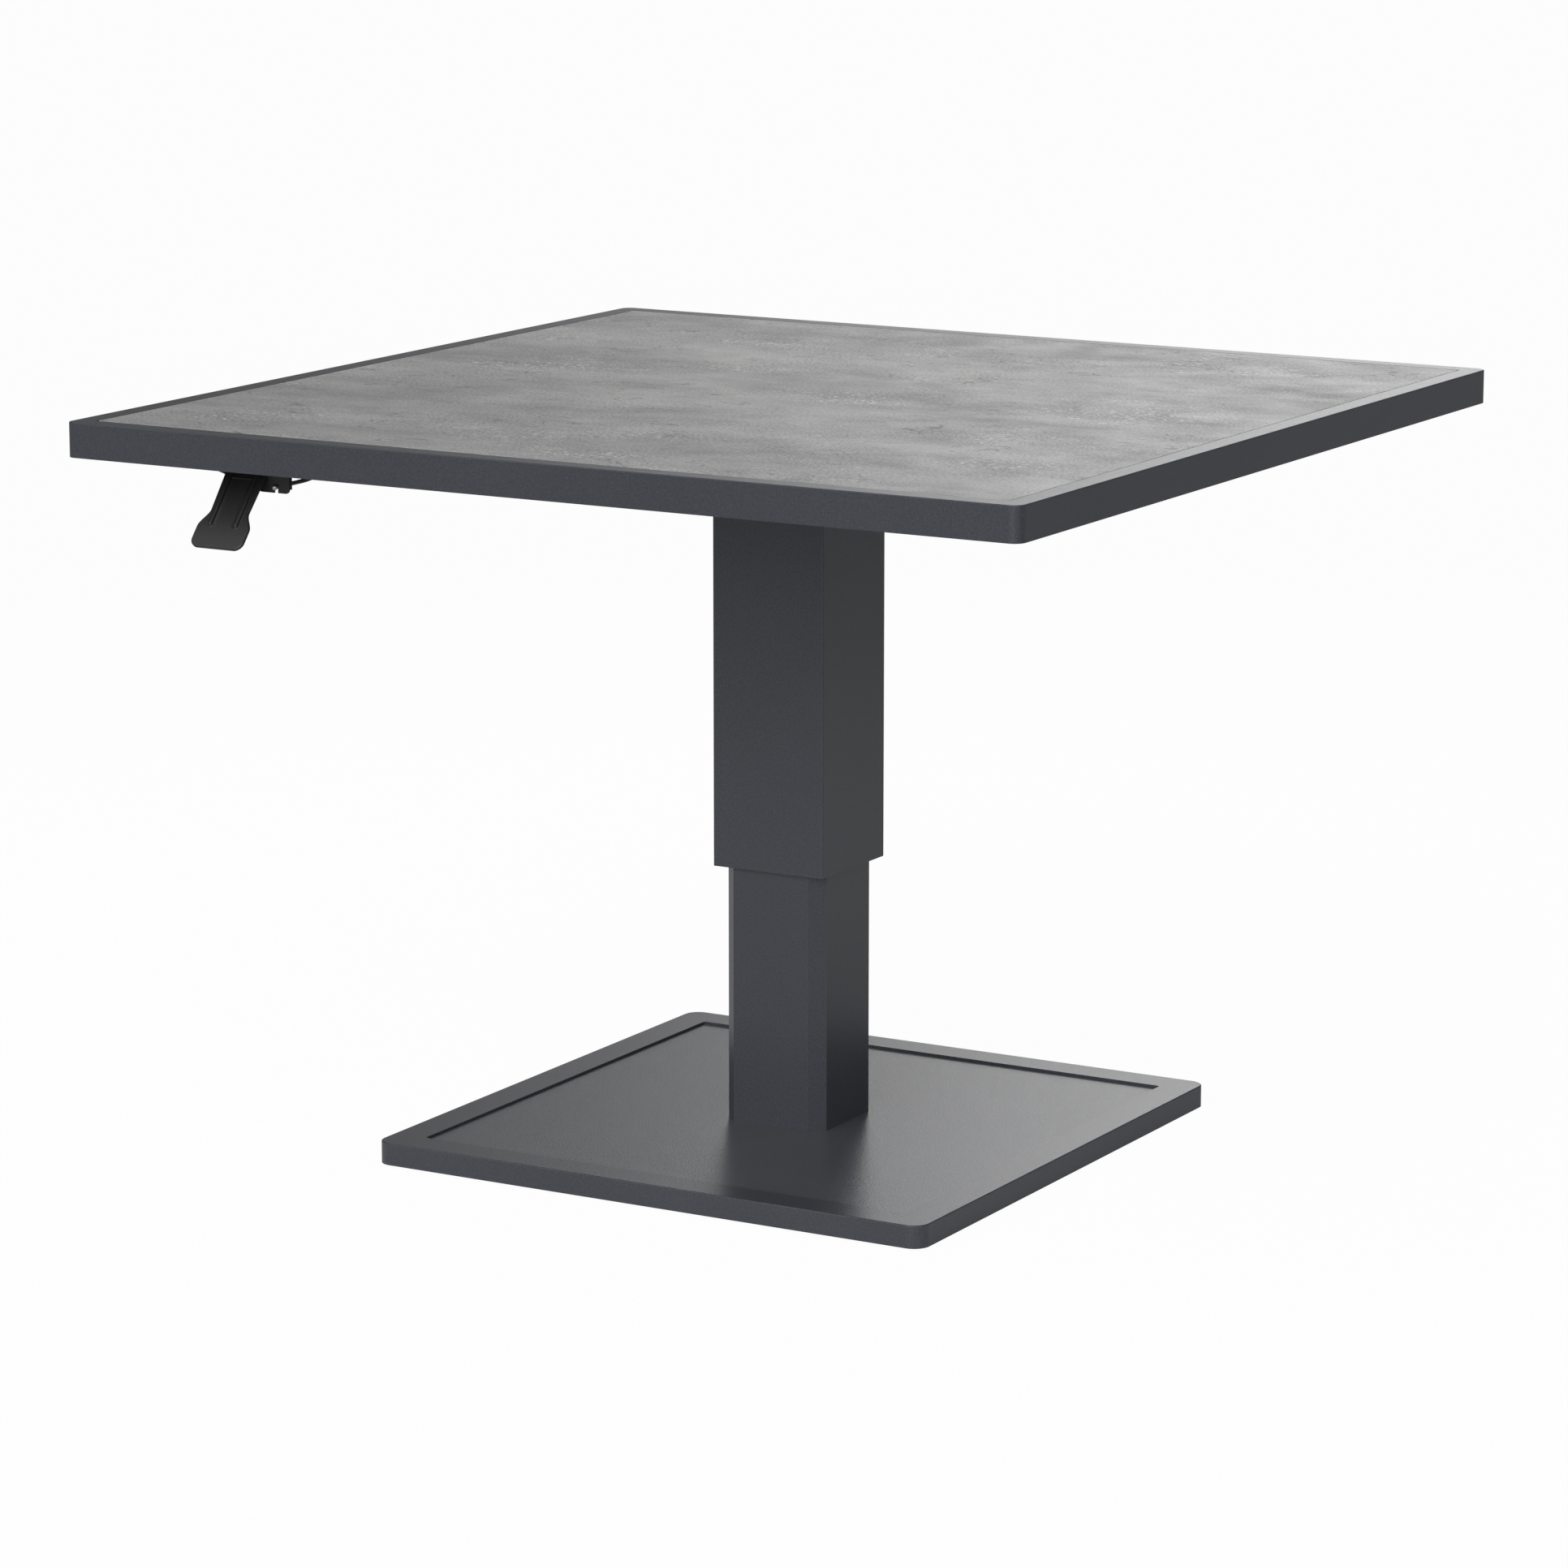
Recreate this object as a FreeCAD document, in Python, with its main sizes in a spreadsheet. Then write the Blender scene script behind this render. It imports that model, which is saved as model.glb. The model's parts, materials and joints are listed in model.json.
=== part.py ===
import FreeCAD, Part
import Sketcher
import math
import os
import re

# A square table whose top rises and sinks on a telescoping column held by a lockable gas spring.
# Millimetres, +Z up, origin on the floor under the middle of the column; the release lever is on the -Y side.

sizes = {
    # top
    "top_width": 1000,
    "top_height": 736,
    "frame_high": 33,
    "frame_wide": 21,
    "frame_wall": 2,
    "frame_corner": 11,
    "frame_edge": 1,
    "ledge_reach": 14,
    "ledge_thick": 3,
    "tape_thick": 1,
    "slab_gap": 1,
    "slab_thick": 8,
    "slab_corner": 3,
    "slab_edge": 0.4,
    "tape_inset": 1,
    # rails under the top
    "rail_wide": 30,
    "rail_wall": 3,
    "inner_rail_x": 95,
    "outer_rail_inset": 165,
    "pad_wide": 20,
    "pad_inset": 25,
    # head plate
    "plate_width": 260,
    "plate_thick": 6,
    "plate_screw_near": 70,
    "plate_screw_far": 110,
    "plate_screw": 3,
    "plate_screw_gap": 0.3,
    "plate_screw_head": 5.5,
    "plate_screw_head_high": 3.5,
    "plate_screw_reach": 14,
    # column
    "upper_size": 122,
    "upper_wall": 3,
    "upper_corner": 1.5,
    "upper_length": 419,
    "lower_size": 110,
    "lower_wall": 3,
    "lower_chamfer": 13,
    "tube_overlap": 142,
    "slide_gap": 0.3,
    "guide_long": 60,
    "guide_lip": 3,
    "guide_inset": 2,
    "guide_screw_drop": 25,
    "guide_screw": 2,
    "end_plate_thick": 10,
    # base
    "base_width": 600,
    "base_high": 22,
    "base_rim": 35,
    "base_corner": 16,
    "base_edge": 1.2,
    "recess_depth": 2.5,
    "recess_corner": 3,
    "panel_thick": 3,
    "panel_gap": 0.5,
    "cutter_over": 1,
    "shelf_reach": 15,
    "ballast_thick": 12,
    "ballast_gap": 2,
    "base_bolt_place": 32,
    "bolt_radius": 5,
    "bolt_gap": 0.5,
    "bolt_head": 8,
    "bolt_head_high": 6.5,
    "bolt_short": 2,
    "counterbore_deep": 7,
    "clip_long": 40,
    "clip_place": 150,
    "clip_reach": 14,
    "clip_screw": 2,
    "clip_screw_deep": 9,
    "glide_high": 3,
    "glide_radius": 10,
    "glide_place": 255,
    "glide_inset": 21,
    "stem_radius": 4,
    "stem_long": 8,
    # gas spring
    "foot_radius": 20,
    "foot_thick": 6,
    "foot_neck": 8,
    "foot_high": 14,
    "stud_radius": 4,
    "stud_long": 8,
    "cylinder_radius": 14,
    "cylinder_wall": 2,
    "cylinder_floor": 3,
    "cylinder_long": 333,
    "gland_long": 18,
    "piston_long": 12,
    "piston_drop": 6,
    "rod_tail": 3,
    "rod_proud": 1,
    "rod_radius": 5,
    "fit_gap": 0.05,
    "nut_width": 17,
    "nut_high": 6,
    "pin_radius": 1.5,
    "pin_long": 57,
    "pin_room": 4,
    # release gear at the head of the column
    "wire_drop": 15,
    "crank_arm": 22,
    "crank_nose": 10,
    "nose_radius": 3,
    "nose_gap": 0.2,
    "crank_thick": 6,
    "crank_wide": 5,
    "crank_hub": 6,
    "hub_long": 24,
    "fork_slot": 2.4,
    "fork_above": 6,
    "fork_below": 4,
    "crank_pin_radius": 3,
    "pin_head": 5,
    "pin_head_long": 2,
    "clip_ring": 1.2,
    "pin_end": 3,
    "yoke_thick": 4,
    "yoke_half": 25,
    "yoke_drop": 57,
    "yoke_front": 3,
    "flange_reach": 18,
    "yoke_screw": 2.5,
    "yoke_screw_head": 4.5,
    "yoke_screw_head_high": 3,
    "yoke_screw_x": 15,
    "yoke_screw_y": 26,
    # lever
    "lever_shift": 7,
    "lever_inset": 70,
    "lever_drop": 8,
    "lever_angle": 50,
    "hub_left": 28,
    "hub_right": 45.6,
    "lever_hub": 4.5,
    "lever_pin": 2.5,
    "lever_pin_head": 4.5,
    "lever_clip": 3.7,
    "ear_thick": 2,
    "ear_gap": 0.3,
    "paddle_start": 6,
    "paddle_long": 87.5,
    "stem_wide": 45,
    "waist_wide": 42,
    "blade_wide": 58,
    "flare_start": 47,
    "flare_end": 66,
    "blade_corner": 9,
    "paddle_thick": 3,
    "paddle_edge": 0.8,
    "rib_apart": 28.5,
    "rib_wide": 4.5,
    "rib_high": 2.4,
    "rib_corner": 0.8,
    "rib_end": 22,
    "cross_rib_at": 10.5,
    "cross_rib_wide": 2,
    "tongue_wide": 36,
    "tongue_long": 44,
    "tongue_thick": 2,
    "paddle_screw": 1.5,
    "paddle_screw_head": 3.2,
    "paddle_screw_head_high": 2,
    "paddle_screw_near": 20,
    "paddle_screw_far": 36,
    "paddle_screw_skin": 1,
    "arm_thick": 2,
    "arm_left": 12,
    "wire_side": 31.4,
    "wire_arm": 14.7,
    "arm_below": 5.6,
    "arm_corner": 3.5,
    "keyhole_half": 2.2,
    "tab_back": 10,
    "tab_thick": 2,
    "tab_half": 9,
    "tab_below": 3.5,
    "bracket_half": 26,
    "ear_lip": 4.4,
    "ear_deep": 8.6,
    "ear_low": 6,
    "ear_shallow": 3.8,
    "bracket_screw": 2.5,
    "bracket_screw_head": 4.2,
    "bracket_screw_head_high": 3,
    "bracket_screw_x": 8,
    "bracket_screw_y": 18,
    "bracket_screw_deep": 8,
    # release cable
    "sheath_radius": 2,
    "sheath_bore": 1,
    "wire_radius": 0.8,
    "ferrule_gap": 0.1,
    "ferrule_neck": 2.2,
    "ferrule_collar": 3.5,
    "ferrule_long": 5,
    "ferrule_seat": 3,
    "ball_radius": 2.7,
    "barrel_radius": 2.5,
    "barrel_long": 6,
    "nipple_gap": 0.3,
    "wire_hidden": 14,
    "grommet_radius": 6,
    "grommet_flange": 8,
    "grommet_lip": 2,
    "grommet_gap": 0.3,
    "strap_thick": 1.5,
    "strap_wide": 8,
    "strap_long": 28,
    "strap_screw_at": 23,
    "strap_screw": 2,
    "strap_screw_head": 3.6,
    "strap_screw_deep": 6,
    "rail_clip_back": 143,
    "plate_clip_inset": 10,
    "rail_run_side": 31,
    "lever_straight": 50,
    "clip_straight": 25,
    "grommet_straight": 15,
}

# Levels and edges worked out from the driving sizes, in the order in which they build on each other.
places = {
    "top_half": "top_width / 2",
    "frame_bottom": "top_height - frame_high",
    "frame_inside": "top_half - frame_wide",
    "slab_bottom": "top_height - slab_thick",
    "slab_half": "frame_inside - slab_gap",
    "ledge_top": "slab_bottom - tape_thick",
    "ledge_bottom": "ledge_top - ledge_thick",
    "ledge_inside": "frame_inside - ledge_reach",
    "plate_bottom": "frame_bottom - plate_thick",
    "upper_half": "upper_size / 2",
    "upper_inside": "upper_half - upper_wall",
    "upper_bottom": "plate_bottom - upper_length",
    "lower_half": "lower_size / 2",
    "lower_inside": "lower_half - lower_wall",
    "inside_chamfer": "lower_chamfer - lower_wall * (2 - sqrt(2))",
    "running_chamfer": "lower_chamfer + slide_gap * (2 - sqrt(2))",
    "guide_top": "upper_bottom + tube_overlap",
    "guide_wall": "upper_inside - slide_gap - lower_half",
    "tube_top": "guide_top - guide_lip",
    "guide_bottom": "guide_top - guide_long",
    "bushing_bottom": "upper_bottom + guide_inset",
    "base_half": "base_width / 2",
    "base_top": "glide_high + base_high",
    "recess_half": "base_half - base_rim",
    "panel_top": "base_top - recess_depth",
    "panel_bottom": "panel_top - panel_thick",
    "ballast_bottom": "panel_bottom - ballast_thick",
    "clip_thick": "ballast_bottom - glide_high",
    "shelf_inside": "recess_half - shelf_reach",
    "ballast_half": "shelf_inside - ballast_gap",
    "clip_inner_screw": "ballast_half - clip_reach / 2",
    "clip_outer_screw": "shelf_inside + shelf_reach / 2",
    "end_plate_top": "panel_top + end_plate_thick",
    "cylinder_bottom": "end_plate_top + foot_high",
    "cylinder_top": "cylinder_bottom + cylinder_long",
    "cylinder_inside": "cylinder_radius - cylinder_wall",
    "gland_bottom": "cylinder_top - gland_long",
    "piston_top": "gland_bottom - piston_drop",
    "yoke_bottom": "plate_bottom - yoke_drop",
    "yoke_floor": "yoke_bottom + yoke_thick",
    "yoke_inside": "hub_long / 2 + slide_gap",
    "yoke_outside": "yoke_inside + yoke_thick",
    "rod_top": "yoke_floor + nut_high + rod_proud",
    "wire_level": "plate_bottom - wire_drop",
    "crank_level": "wire_level - crank_arm",
    "valve_top": "crank_level - nose_radius - nose_gap",
    "valve_bottom": "valve_top - pin_long",
    "outer_rail_x": "top_half - outer_rail_inset",
    "lever_x": "0 - outer_rail_x - lever_shift",
    "lever_y": "lever_inset - top_half",
    "lever_level": "frame_bottom - lever_drop",
    "wire_x": "lever_x + wire_side",
    "wire_end": "0 - yoke_half - ferrule_long + ferrule_seat",
    "ball_y": "lever_y - arm_thick / 2 - sqrt(ball_radius ^ 2 - keyhole_half ^ 2) - nipple_gap",
    "barrel_x": "crank_nose + crank_wide / 2 + nipple_gap + barrel_radius",
    "rail_run_x": "lever_x + rail_run_side",
    "rail_clip_y": "lever_y + rail_clip_back",
    "rail_run_level": "frame_bottom - strap_thick - sheath_radius",
    "plate_clip_x": "plate_clip_inset - plate_width / 2",
    "plate_run_level": "plate_bottom - strap_thick - sheath_radius",
    "keyhole_level": "lever_level - wire_arm",
    "ear_left": "lever_x - hub_left - ear_gap",
    "ear_right": "lever_x + hub_right + ear_gap",
    "arm_left_edge": "lever_x + arm_left",
    "arm_right_edge": "lever_x + hub_right",
    "tab_front": "lever_y + tab_back",
    "tab_rear": "tab_front + tab_thick",
    "bracket_floor": "frame_bottom - ear_thick",
    "wire_start": "tab_rear + ferrule_long - ferrule_seat",
}

doc = FreeCAD.newDocument("PedestalTable")
parts = {}


def linked(formula):
    """The formula with each size and place named by the sheet that holds it."""
    def with_sheet(match):
        word = match.group(0)
        if word in sizes:
            return "Sizes." + word
        if word in places:
            return "Places." + word
        return word
    return re.sub(r"[a-z]+(?:_[a-z]+)+", with_sheet, str(formula))


def fill_sheet(name, cells):
    sheet = doc.addObject("Spreadsheet::Sheet", name)
    for row, (alias, content) in enumerate(cells.items(), 1):
        sheet.set(f"A{row}", alias)
        sheet.set(f"B{row}", content)
        sheet.setAlias(f"B{row}", alias)
    doc.recompute()
    return sheet


size_sheet = fill_sheet("Sizes", {name: str(size) for name, size in sizes.items()})
place_sheet = fill_sheet("Places", {name: "=" + linked(formula).replace("Places.", "")
                                    for name, formula in places.items()})


def size(name):
    """What a size or a place measures now."""
    return float(getattr(size_sheet if name in sizes else place_sheet, name))


def bind(thing, **formulas):
    for prop, formula in formulas.items():
        thing.setExpression(prop, linked(formula))


def put(thing, x="0", y="0", z="0"):
    for prop, formula in (("x", x), ("y", y), ("z", z)):
        thing.setExpression(f".Placement.Base.{prop}", linked(formula))
    return thing


def block(name, x, y, z):
    """A box between two formulas along each axis."""
    box = doc.addObject("Part::Box", name)
    bind(box, Length=f"({x[1]}) - ({x[0]})", Width=f"({y[1]}) - ({y[0]})", Height=f"({z[1]}) - ({z[0]})")
    return put(box, x[0], y[0], z[0])


turns = {
    "Z": FreeCAD.Rotation(),
    "X": FreeCAD.Rotation(FreeCAD.Vector(0, 1, 0), 90),
    "Y": FreeCAD.Rotation(FreeCAD.Vector(1, 0, 0), -90),
}


def rod(name, radius, reach, x="0", y="0", z="0", along="Z"):
    """A cylinder that starts at x, y, z and runs for reach along an axis."""
    cylinder = doc.addObject("Part::Cylinder", name)
    cylinder.Placement.Rotation = turns[along]
    bind(cylinder, Radius=radius, Height=reach)
    return put(cylinder, x, y, z)


def cone(name, low_radius, high_radius, reach, x="0", y="0", z="0"):
    solid = doc.addObject("Part::Cone", name)
    bind(solid, Radius1=low_radius, Radius2=high_radius, Height=reach)
    return put(solid, x, y, z)


def hexagon(name, width, reach, z):
    nut = doc.addObject("Part::Prism", name)
    nut.Polygon = 6
    bind(nut, Circumradius=f"({width}) / sqrt(3)", Height=reach)
    return put(nut, z=z)


def group(name, solids):
    bundle = doc.addObject("Part::Compound", name)
    bundle.Links = solids
    return bundle


def fuse(name, *solids):
    union = doc.addObject("Part::MultiFuse", name)
    union.Shapes = list(solids)
    union.Refine = True
    return union


def cut(name, base, *tools):
    result = doc.addObject("Part::Cut", name)
    result.Base = base
    result.Tool = tools[0] if len(tools) == 1 else group(name + "_tools", list(tools))
    return result


def common(name, base, tool):
    result = doc.addObject("Part::Common", name)
    result.Base = base
    result.Tool = tool
    return result


faces = {
    "XY": FreeCAD.Rotation(),                                    # outline in X and Y, pulled along +Z
    "YZ": FreeCAD.Rotation(FreeCAD.Vector(1, 1, 1), 120),        # outline in Y and Z, pulled along +X
    "XZ": FreeCAD.Rotation(FreeCAD.Vector(1, 0, 0), 90),         # outline in X and Z, pulled along -Y
}


def prism(name, outline, reach, x="0", y="0", z="0", face="XY"):
    """A body padded from a closed outline of straight sides, whose corners are pairs of formulas."""
    body = doc.addObject("PartDesign::Body", name)
    sketch = body.newObject("Sketcher::SketchObject", name + "_outline")
    plane = [datum for datum in body.Origin.OriginFeatures if datum.Role == "XY_Plane"][0]
    sketch.AttachmentSupport = (plane, [""])
    sketch.MapMode = "FlatFace"
    count = len(outline)
    rough = [FreeCAD.Vector(math.cos(turn), math.sin(turn)) for turn in
             (2 * math.pi * index / count for index in range(count))]
    for index in range(count):
        sketch.addGeometry(Part.LineSegment(rough[index], rough[(index + 1) % count]))
    for index in range(count):
        sketch.addConstraint(Sketcher.Constraint("Coincident", index, 2, (index + 1) % count, 1))
    for index, corner in enumerate(outline):
        for kind, formula in zip(("DistanceX", "DistanceY"), corner):
            number = sketch.addConstraint(Sketcher.Constraint(kind, -1, 1, index, 1, 1.0))
            sketch.setExpression(f"Constraints[{number}]", linked(formula))
    pad = body.newObject("PartDesign::Pad", name + "_pad")
    pad.Profile = sketch
    bind(pad, Length=reach)
    sketch.Visibility = False
    body.Placement.Rotation = faces[face]
    put(body, x, y, z)
    doc.recompute()
    return body


def round_corners(body, radius, corners=None):
    """Rounds the edges that the pad pulled from the outline's corners, all of them or those listed."""
    tip = body.Tip
    sketch = body.Group[0]
    chosen = range(len(sketch.Geometry)) if corners is None else corners
    points = [sketch.Geometry[index].StartPoint for index in chosen]
    names = []
    for number, edge in enumerate(tip.Shape.Edges, 1):
        ends = [vertex.Point for vertex in edge.Vertexes]
        for point in points:
            if len(ends) == 2 and all(math.hypot(end.x - point.x, end.y - point.y) < 1e-6 for end in ends):
                names.append(f"Edge{number}")
    fillet = body.newObject("PartDesign::Fillet", body.Name + "_corners")
    fillet.Base = (tip, names)
    bind(fillet, Radius=radius)
    doc.recompute()
    return body


def round_rim(body, radius, at_end=True):
    """Rounds the edges all round the pad's far face, or round its near one."""
    tip = body.Tip
    level = tip.Shape.BoundBox.ZMax if at_end else tip.Shape.BoundBox.ZMin
    names = [f"Edge{number}" for number, edge in enumerate(tip.Shape.Edges, 1)
             if all(abs(vertex.Point.z - level) < 1e-6 for vertex in edge.Vertexes)]
    fillet = body.newObject("PartDesign::Fillet", body.Name + "_rim")
    fillet.Base = (tip, names)
    bind(fillet, Radius=radius)
    doc.recompute()
    return body


def square(half):
    return [(f"-({half})", f"-({half})"), (half, f"-({half})"), (half, half), (f"-({half})", half)]


def octagon(half, chamfer):
    """The corners of a square with its corners cut off at 45 degrees."""
    flat = f"({half}) - ({chamfer})"
    ring = [(half, f"-({flat})"), (half, flat), (flat, half), (f"-({flat})", half)]
    ring += [(f"-({half})", flat), (f"-({half})", f"-({flat})"), (f"-({flat})", f"-({half})"), (flat, f"-({half})")]
    return ring


def keep(node, thing):
    """The finished sub-part that is written to its own file."""
    thing.Label = node
    parts[node] = thing


sides = {"back": 0, "left": 90, "front": 180, "right": 270}


def mitred_bars(name, ring):
    """Splits a ring along its diagonals into a bar for each side."""
    for side, turn in sides.items():
        quadrant = doc.addObject("Part::Box", f"{name}_{side}_quadrant")
        bind(quadrant, Length="top_width", Width="top_width", Height="2 * top_height")
        quadrant.Placement.Rotation = FreeCAD.Rotation(FreeCAD.Vector(0, 0, 1), 45 + turn)
        keep(f"{name}_{side}", common(f"{name}_{side}_bar", ring, quadrant))


def pan_screw(name, shank, head, head_high, reach, x, y, face):
    """A screw driven upwards: its head lies under the level called face, its shank runs up from there."""
    stem = rod(name + "_shank", shank, reach, x, y, face)
    cap = rod(name + "_head", head, head_high, x, y, f"({face}) - ({head_high})")
    return fuse(name, cap, stem)


# Base: four mitred rim bars round a sunk panel, with a steel ballast plate hidden under it.

def build_base_rim():
    outside = round_rim(round_corners(prism("base_outside", square("base_half"), "base_high", z="glide_high"),
                                      "base_corner"), "base_edge")
    recess = round_corners(prism("base_recess", square("recess_half"), "base_top - panel_bottom + cutter_over",
                                 z="panel_bottom"), "recess_corner")
    hollow = block("base_hollow", ("-shelf_inside", "shelf_inside"), ("-shelf_inside", "shelf_inside"),
                   ("0", "base_top"))
    underside = block("base_underside", ("-recess_half", "recess_half"), ("-recess_half", "recess_half"),
                      ("0", "ballast_bottom"))
    stems = [rod(f"stem_hole_{index}", "stem_radius", "stem_long", x, y, "glide_high")
             for index, (x, y) in enumerate(glide_places)]
    clips = [rod(f"shelf_screw_hole_{index}", "clip_screw", "clip_screw_deep - clip_thick", x, y, "ballast_bottom")
             for index, (x, y) in enumerate(clip_screw_places("clip_outer_screw"))]
    mitred_bars("base_rim", cut("base_ring", outside, recess, hollow, underside, *stems, *clips))


def clip_screw_places(distance):
    """Where the screws at one distance from the middle stand, two on each side of the base."""
    spots = []
    for along in ("clip_place", "-clip_place"):
        spots += [(along, distance), (along, f"-{distance}"), (distance, along), (f"-{distance}", along)]
    return spots


glide_places = [(x, y) for x in ("glide_place", "-glide_place")
                for y in ("base_half - glide_inset", "glide_inset - base_half")]
bolt_places = [(x, y) for x in ("base_bolt_place", "-base_bolt_place")
               for y in ("base_bolt_place", "-base_bolt_place")]


def build_base_panel():
    sheet = round_corners(prism("panel_sheet", square("recess_half - panel_gap"), "panel_thick", z="panel_bottom"),
                          "recess_corner - panel_gap")
    holes = [rod(f"panel_hole_{index}", "bolt_radius + bolt_gap", "panel_thick", x, y, "panel_bottom")
             for index, (x, y) in enumerate(bolt_places)]
    keep("base_panel", cut("panel", sheet, *holes))


def build_ballast():
    plate = block("ballast_block", ("-ballast_half", "ballast_half"), ("-ballast_half", "ballast_half"),
                  ("ballast_bottom", "panel_bottom"))
    holes = []
    for index, (x, y) in enumerate(bolt_places):
        holes.append(rod(f"ballast_hole_{index}", "bolt_radius + bolt_gap", "ballast_thick", x, y, "ballast_bottom"))
        holes.append(rod(f"counterbore_{index}", "bolt_head + bolt_gap", "counterbore_deep", x, y, "ballast_bottom"))
    holes += [rod(f"ballast_screw_hole_{index}", "clip_screw", "clip_screw_deep - clip_thick", x, y, "ballast_bottom")
              for index, (x, y) in enumerate(clip_screw_places("clip_inner_screw"))]
    keep("ballast_plate", cut("ballast", plate, *holes))


def build_ballast_clips():
    near = "ballast_half - clip_reach"
    far = "recess_half"
    half = "clip_long / 2"
    clips = []
    for index, along in enumerate(("clip_place", "-clip_place")):
        span = (f"{along} - {half}", f"{along} + {half}")
        high = ("glide_high", "ballast_bottom")
        clips.append(block(f"clip_back_{index}", span, (near, far), high))
        clips.append(block(f"clip_front_{index}", span, (f"-({far})", f"-({near})"), high))
        clips.append(block(f"clip_right_{index}", (near, far), span, high))
        clips.append(block(f"clip_left_{index}", (f"-({far})", f"-({near})"), span, high))
    spots = clip_screw_places("clip_inner_screw") + clip_screw_places("clip_outer_screw")
    holes = []
    screws = []
    for index, (x, y) in enumerate(spots):
        sink = ("2 * clip_screw", "clip_screw", "clip_screw", x, y, "glide_high")
        holes.append(rod(f"clip_hole_{index}", "clip_screw", "clip_thick", x, y, "glide_high"))
        holes.append(cone(f"clip_sink_{index}", *sink))
        screws.append(fuse(f"clip_screw_{index}", cone(f"clip_screw_head_{index}", *sink),
                           rod(f"clip_screw_shank_{index}", "clip_screw", "clip_screw_deep", x, y, "glide_high")))
    keep("ballast_clips", cut("clips", group("clip_blanks", clips), *holes))
    keep("clip_screws", group("clip_screw_set", screws))


def build_glides():
    glides = []
    for index, (x, y) in enumerate(glide_places):
        pad = rod(f"glide_pad_{index}", "glide_radius", "glide_high", x, y, "0")
        stem = rod(f"glide_stem_{index}", "stem_radius", "stem_long", x, y, "glide_high")
        glides.append(fuse(f"glide_{index}", pad, stem))
    keep("floor_glides", group("glide_set", glides))


# Lower half of the column, with the gas spring's cylinder standing in it.

def build_lower_tube():
    tube_high = "tube_top - panel_top"
    outside = prism("lower_outside", octagon("lower_half", "lower_chamfer"), tube_high, z="panel_top")
    bore = prism("lower_bore", octagon("lower_inside", "inside_chamfer"), tube_high, z="panel_top")
    keep("lower_tube", cut("lower_tube_wall", outside, bore, *guide_screw_holes("lower", "guide_screw")))


def guide_screw_holes(name, radius):
    """A round hole through the middle of each wall of the lower tube, just under its top."""
    level = "guide_top - guide_screw_drop"
    reach = "lower_half + guide_wall"
    return [rod(f"{name}_hole_x", radius, f"2 * ({reach})", f"-({reach})", "0", level, along="X"),
            rod(f"{name}_hole_y", radius, f"2 * ({reach})", "0", f"-({reach})", level, along="Y")]


def build_end_plate():
    plate = prism("end_plate_block", octagon("lower_inside", "inside_chamfer"), "end_plate_thick", z="panel_top")
    threads = [rod(f"end_plate_thread_{index}", "bolt_radius", "end_plate_thick", x, y, "panel_top")
               for index, (x, y) in enumerate(bolt_places)]
    socket = rod("foot_thread", "stud_radius", "end_plate_thick", z="panel_top")
    keep("lower_end_plate", cut("end_plate", plate, socket, *threads))


def build_base_bolts():
    seat = "ballast_bottom + counterbore_deep"
    bolts = [pan_screw(f"base_bolt_{index}", "bolt_radius", "bolt_head", "bolt_head_high",
                       f"end_plate_top - bolt_short - ({seat})", x, y, seat)
             for index, (x, y) in enumerate(bolt_places)]
    keep("base_bolts", group("base_bolt_set", bolts))


def build_top_guide():
    outside = prism("top_guide_outside", octagon("upper_inside - slide_gap", "lower_chamfer"), "guide_long",
                    z="guide_bottom")
    seat = prism("top_guide_seat", octagon("lower_half", "lower_chamfer"), "guide_long - guide_lip",
                 z="guide_bottom")
    mouth = prism("top_guide_mouth", octagon("lower_inside", "inside_chamfer"), "guide_lip", z="tube_top")
    keep("top_guide", cut("top_guide_sleeve", outside, seat, mouth, *guide_screw_holes("guide", "guide_screw")))
    level = "guide_top - guide_screw_drop"
    face = "lower_half + guide_wall"
    reach = "lower_wall + guide_wall"
    screws = [rod("guide_screw_right", "guide_screw", reach, "lower_inside", "0", level, along="X"),
              rod("guide_screw_left", "guide_screw", reach, f"-({face})", "0", level, along="X"),
              rod("guide_screw_back", "guide_screw", reach, "0", "lower_inside", level, along="Y"),
              rod("guide_screw_front", "guide_screw", reach, "0", f"-({face})", level, along="Y")]
    keep("top_guide_screws", group("top_guide_screw_set", screws))


def build_gas_spring_cylinder():
    disc = rod("foot_disc", "foot_radius", "foot_thick", z="end_plate_top")
    neck = rod("foot_neck_rod", "foot_neck", "foot_high", z="end_plate_top")
    stud = rod("foot_stud", "stud_radius", "stud_long", z="end_plate_top - stud_long")
    keep("gas_spring_foot", fuse("foot", disc, neck, stud))
    wall = rod("cylinder_wall_rod", "cylinder_radius", "cylinder_long", z="cylinder_bottom")
    bore = rod("cylinder_bore", "cylinder_inside", "cylinder_long - cylinder_floor",
               z="cylinder_bottom + cylinder_floor")
    keep("gas_spring_cylinder", cut("cylinder", wall, bore))
    gland = rod("gland_plug", "cylinder_inside", "gland_long", z="gland_bottom")
    passage = rod("gland_passage", "rod_radius + fit_gap", "gland_long", z="gland_bottom")
    keep("gas_spring_gland", cut("gland", gland, passage))


build_base_rim()
build_base_panel()
build_ballast()
build_ballast_clips()
build_glides()
build_lower_tube()
build_end_plate()
build_base_bolts()
build_top_guide()
build_gas_spring_cylinder()


# Top: mitred hollow frame, slab lying on the frame's ledge, four rails welded across.

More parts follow.
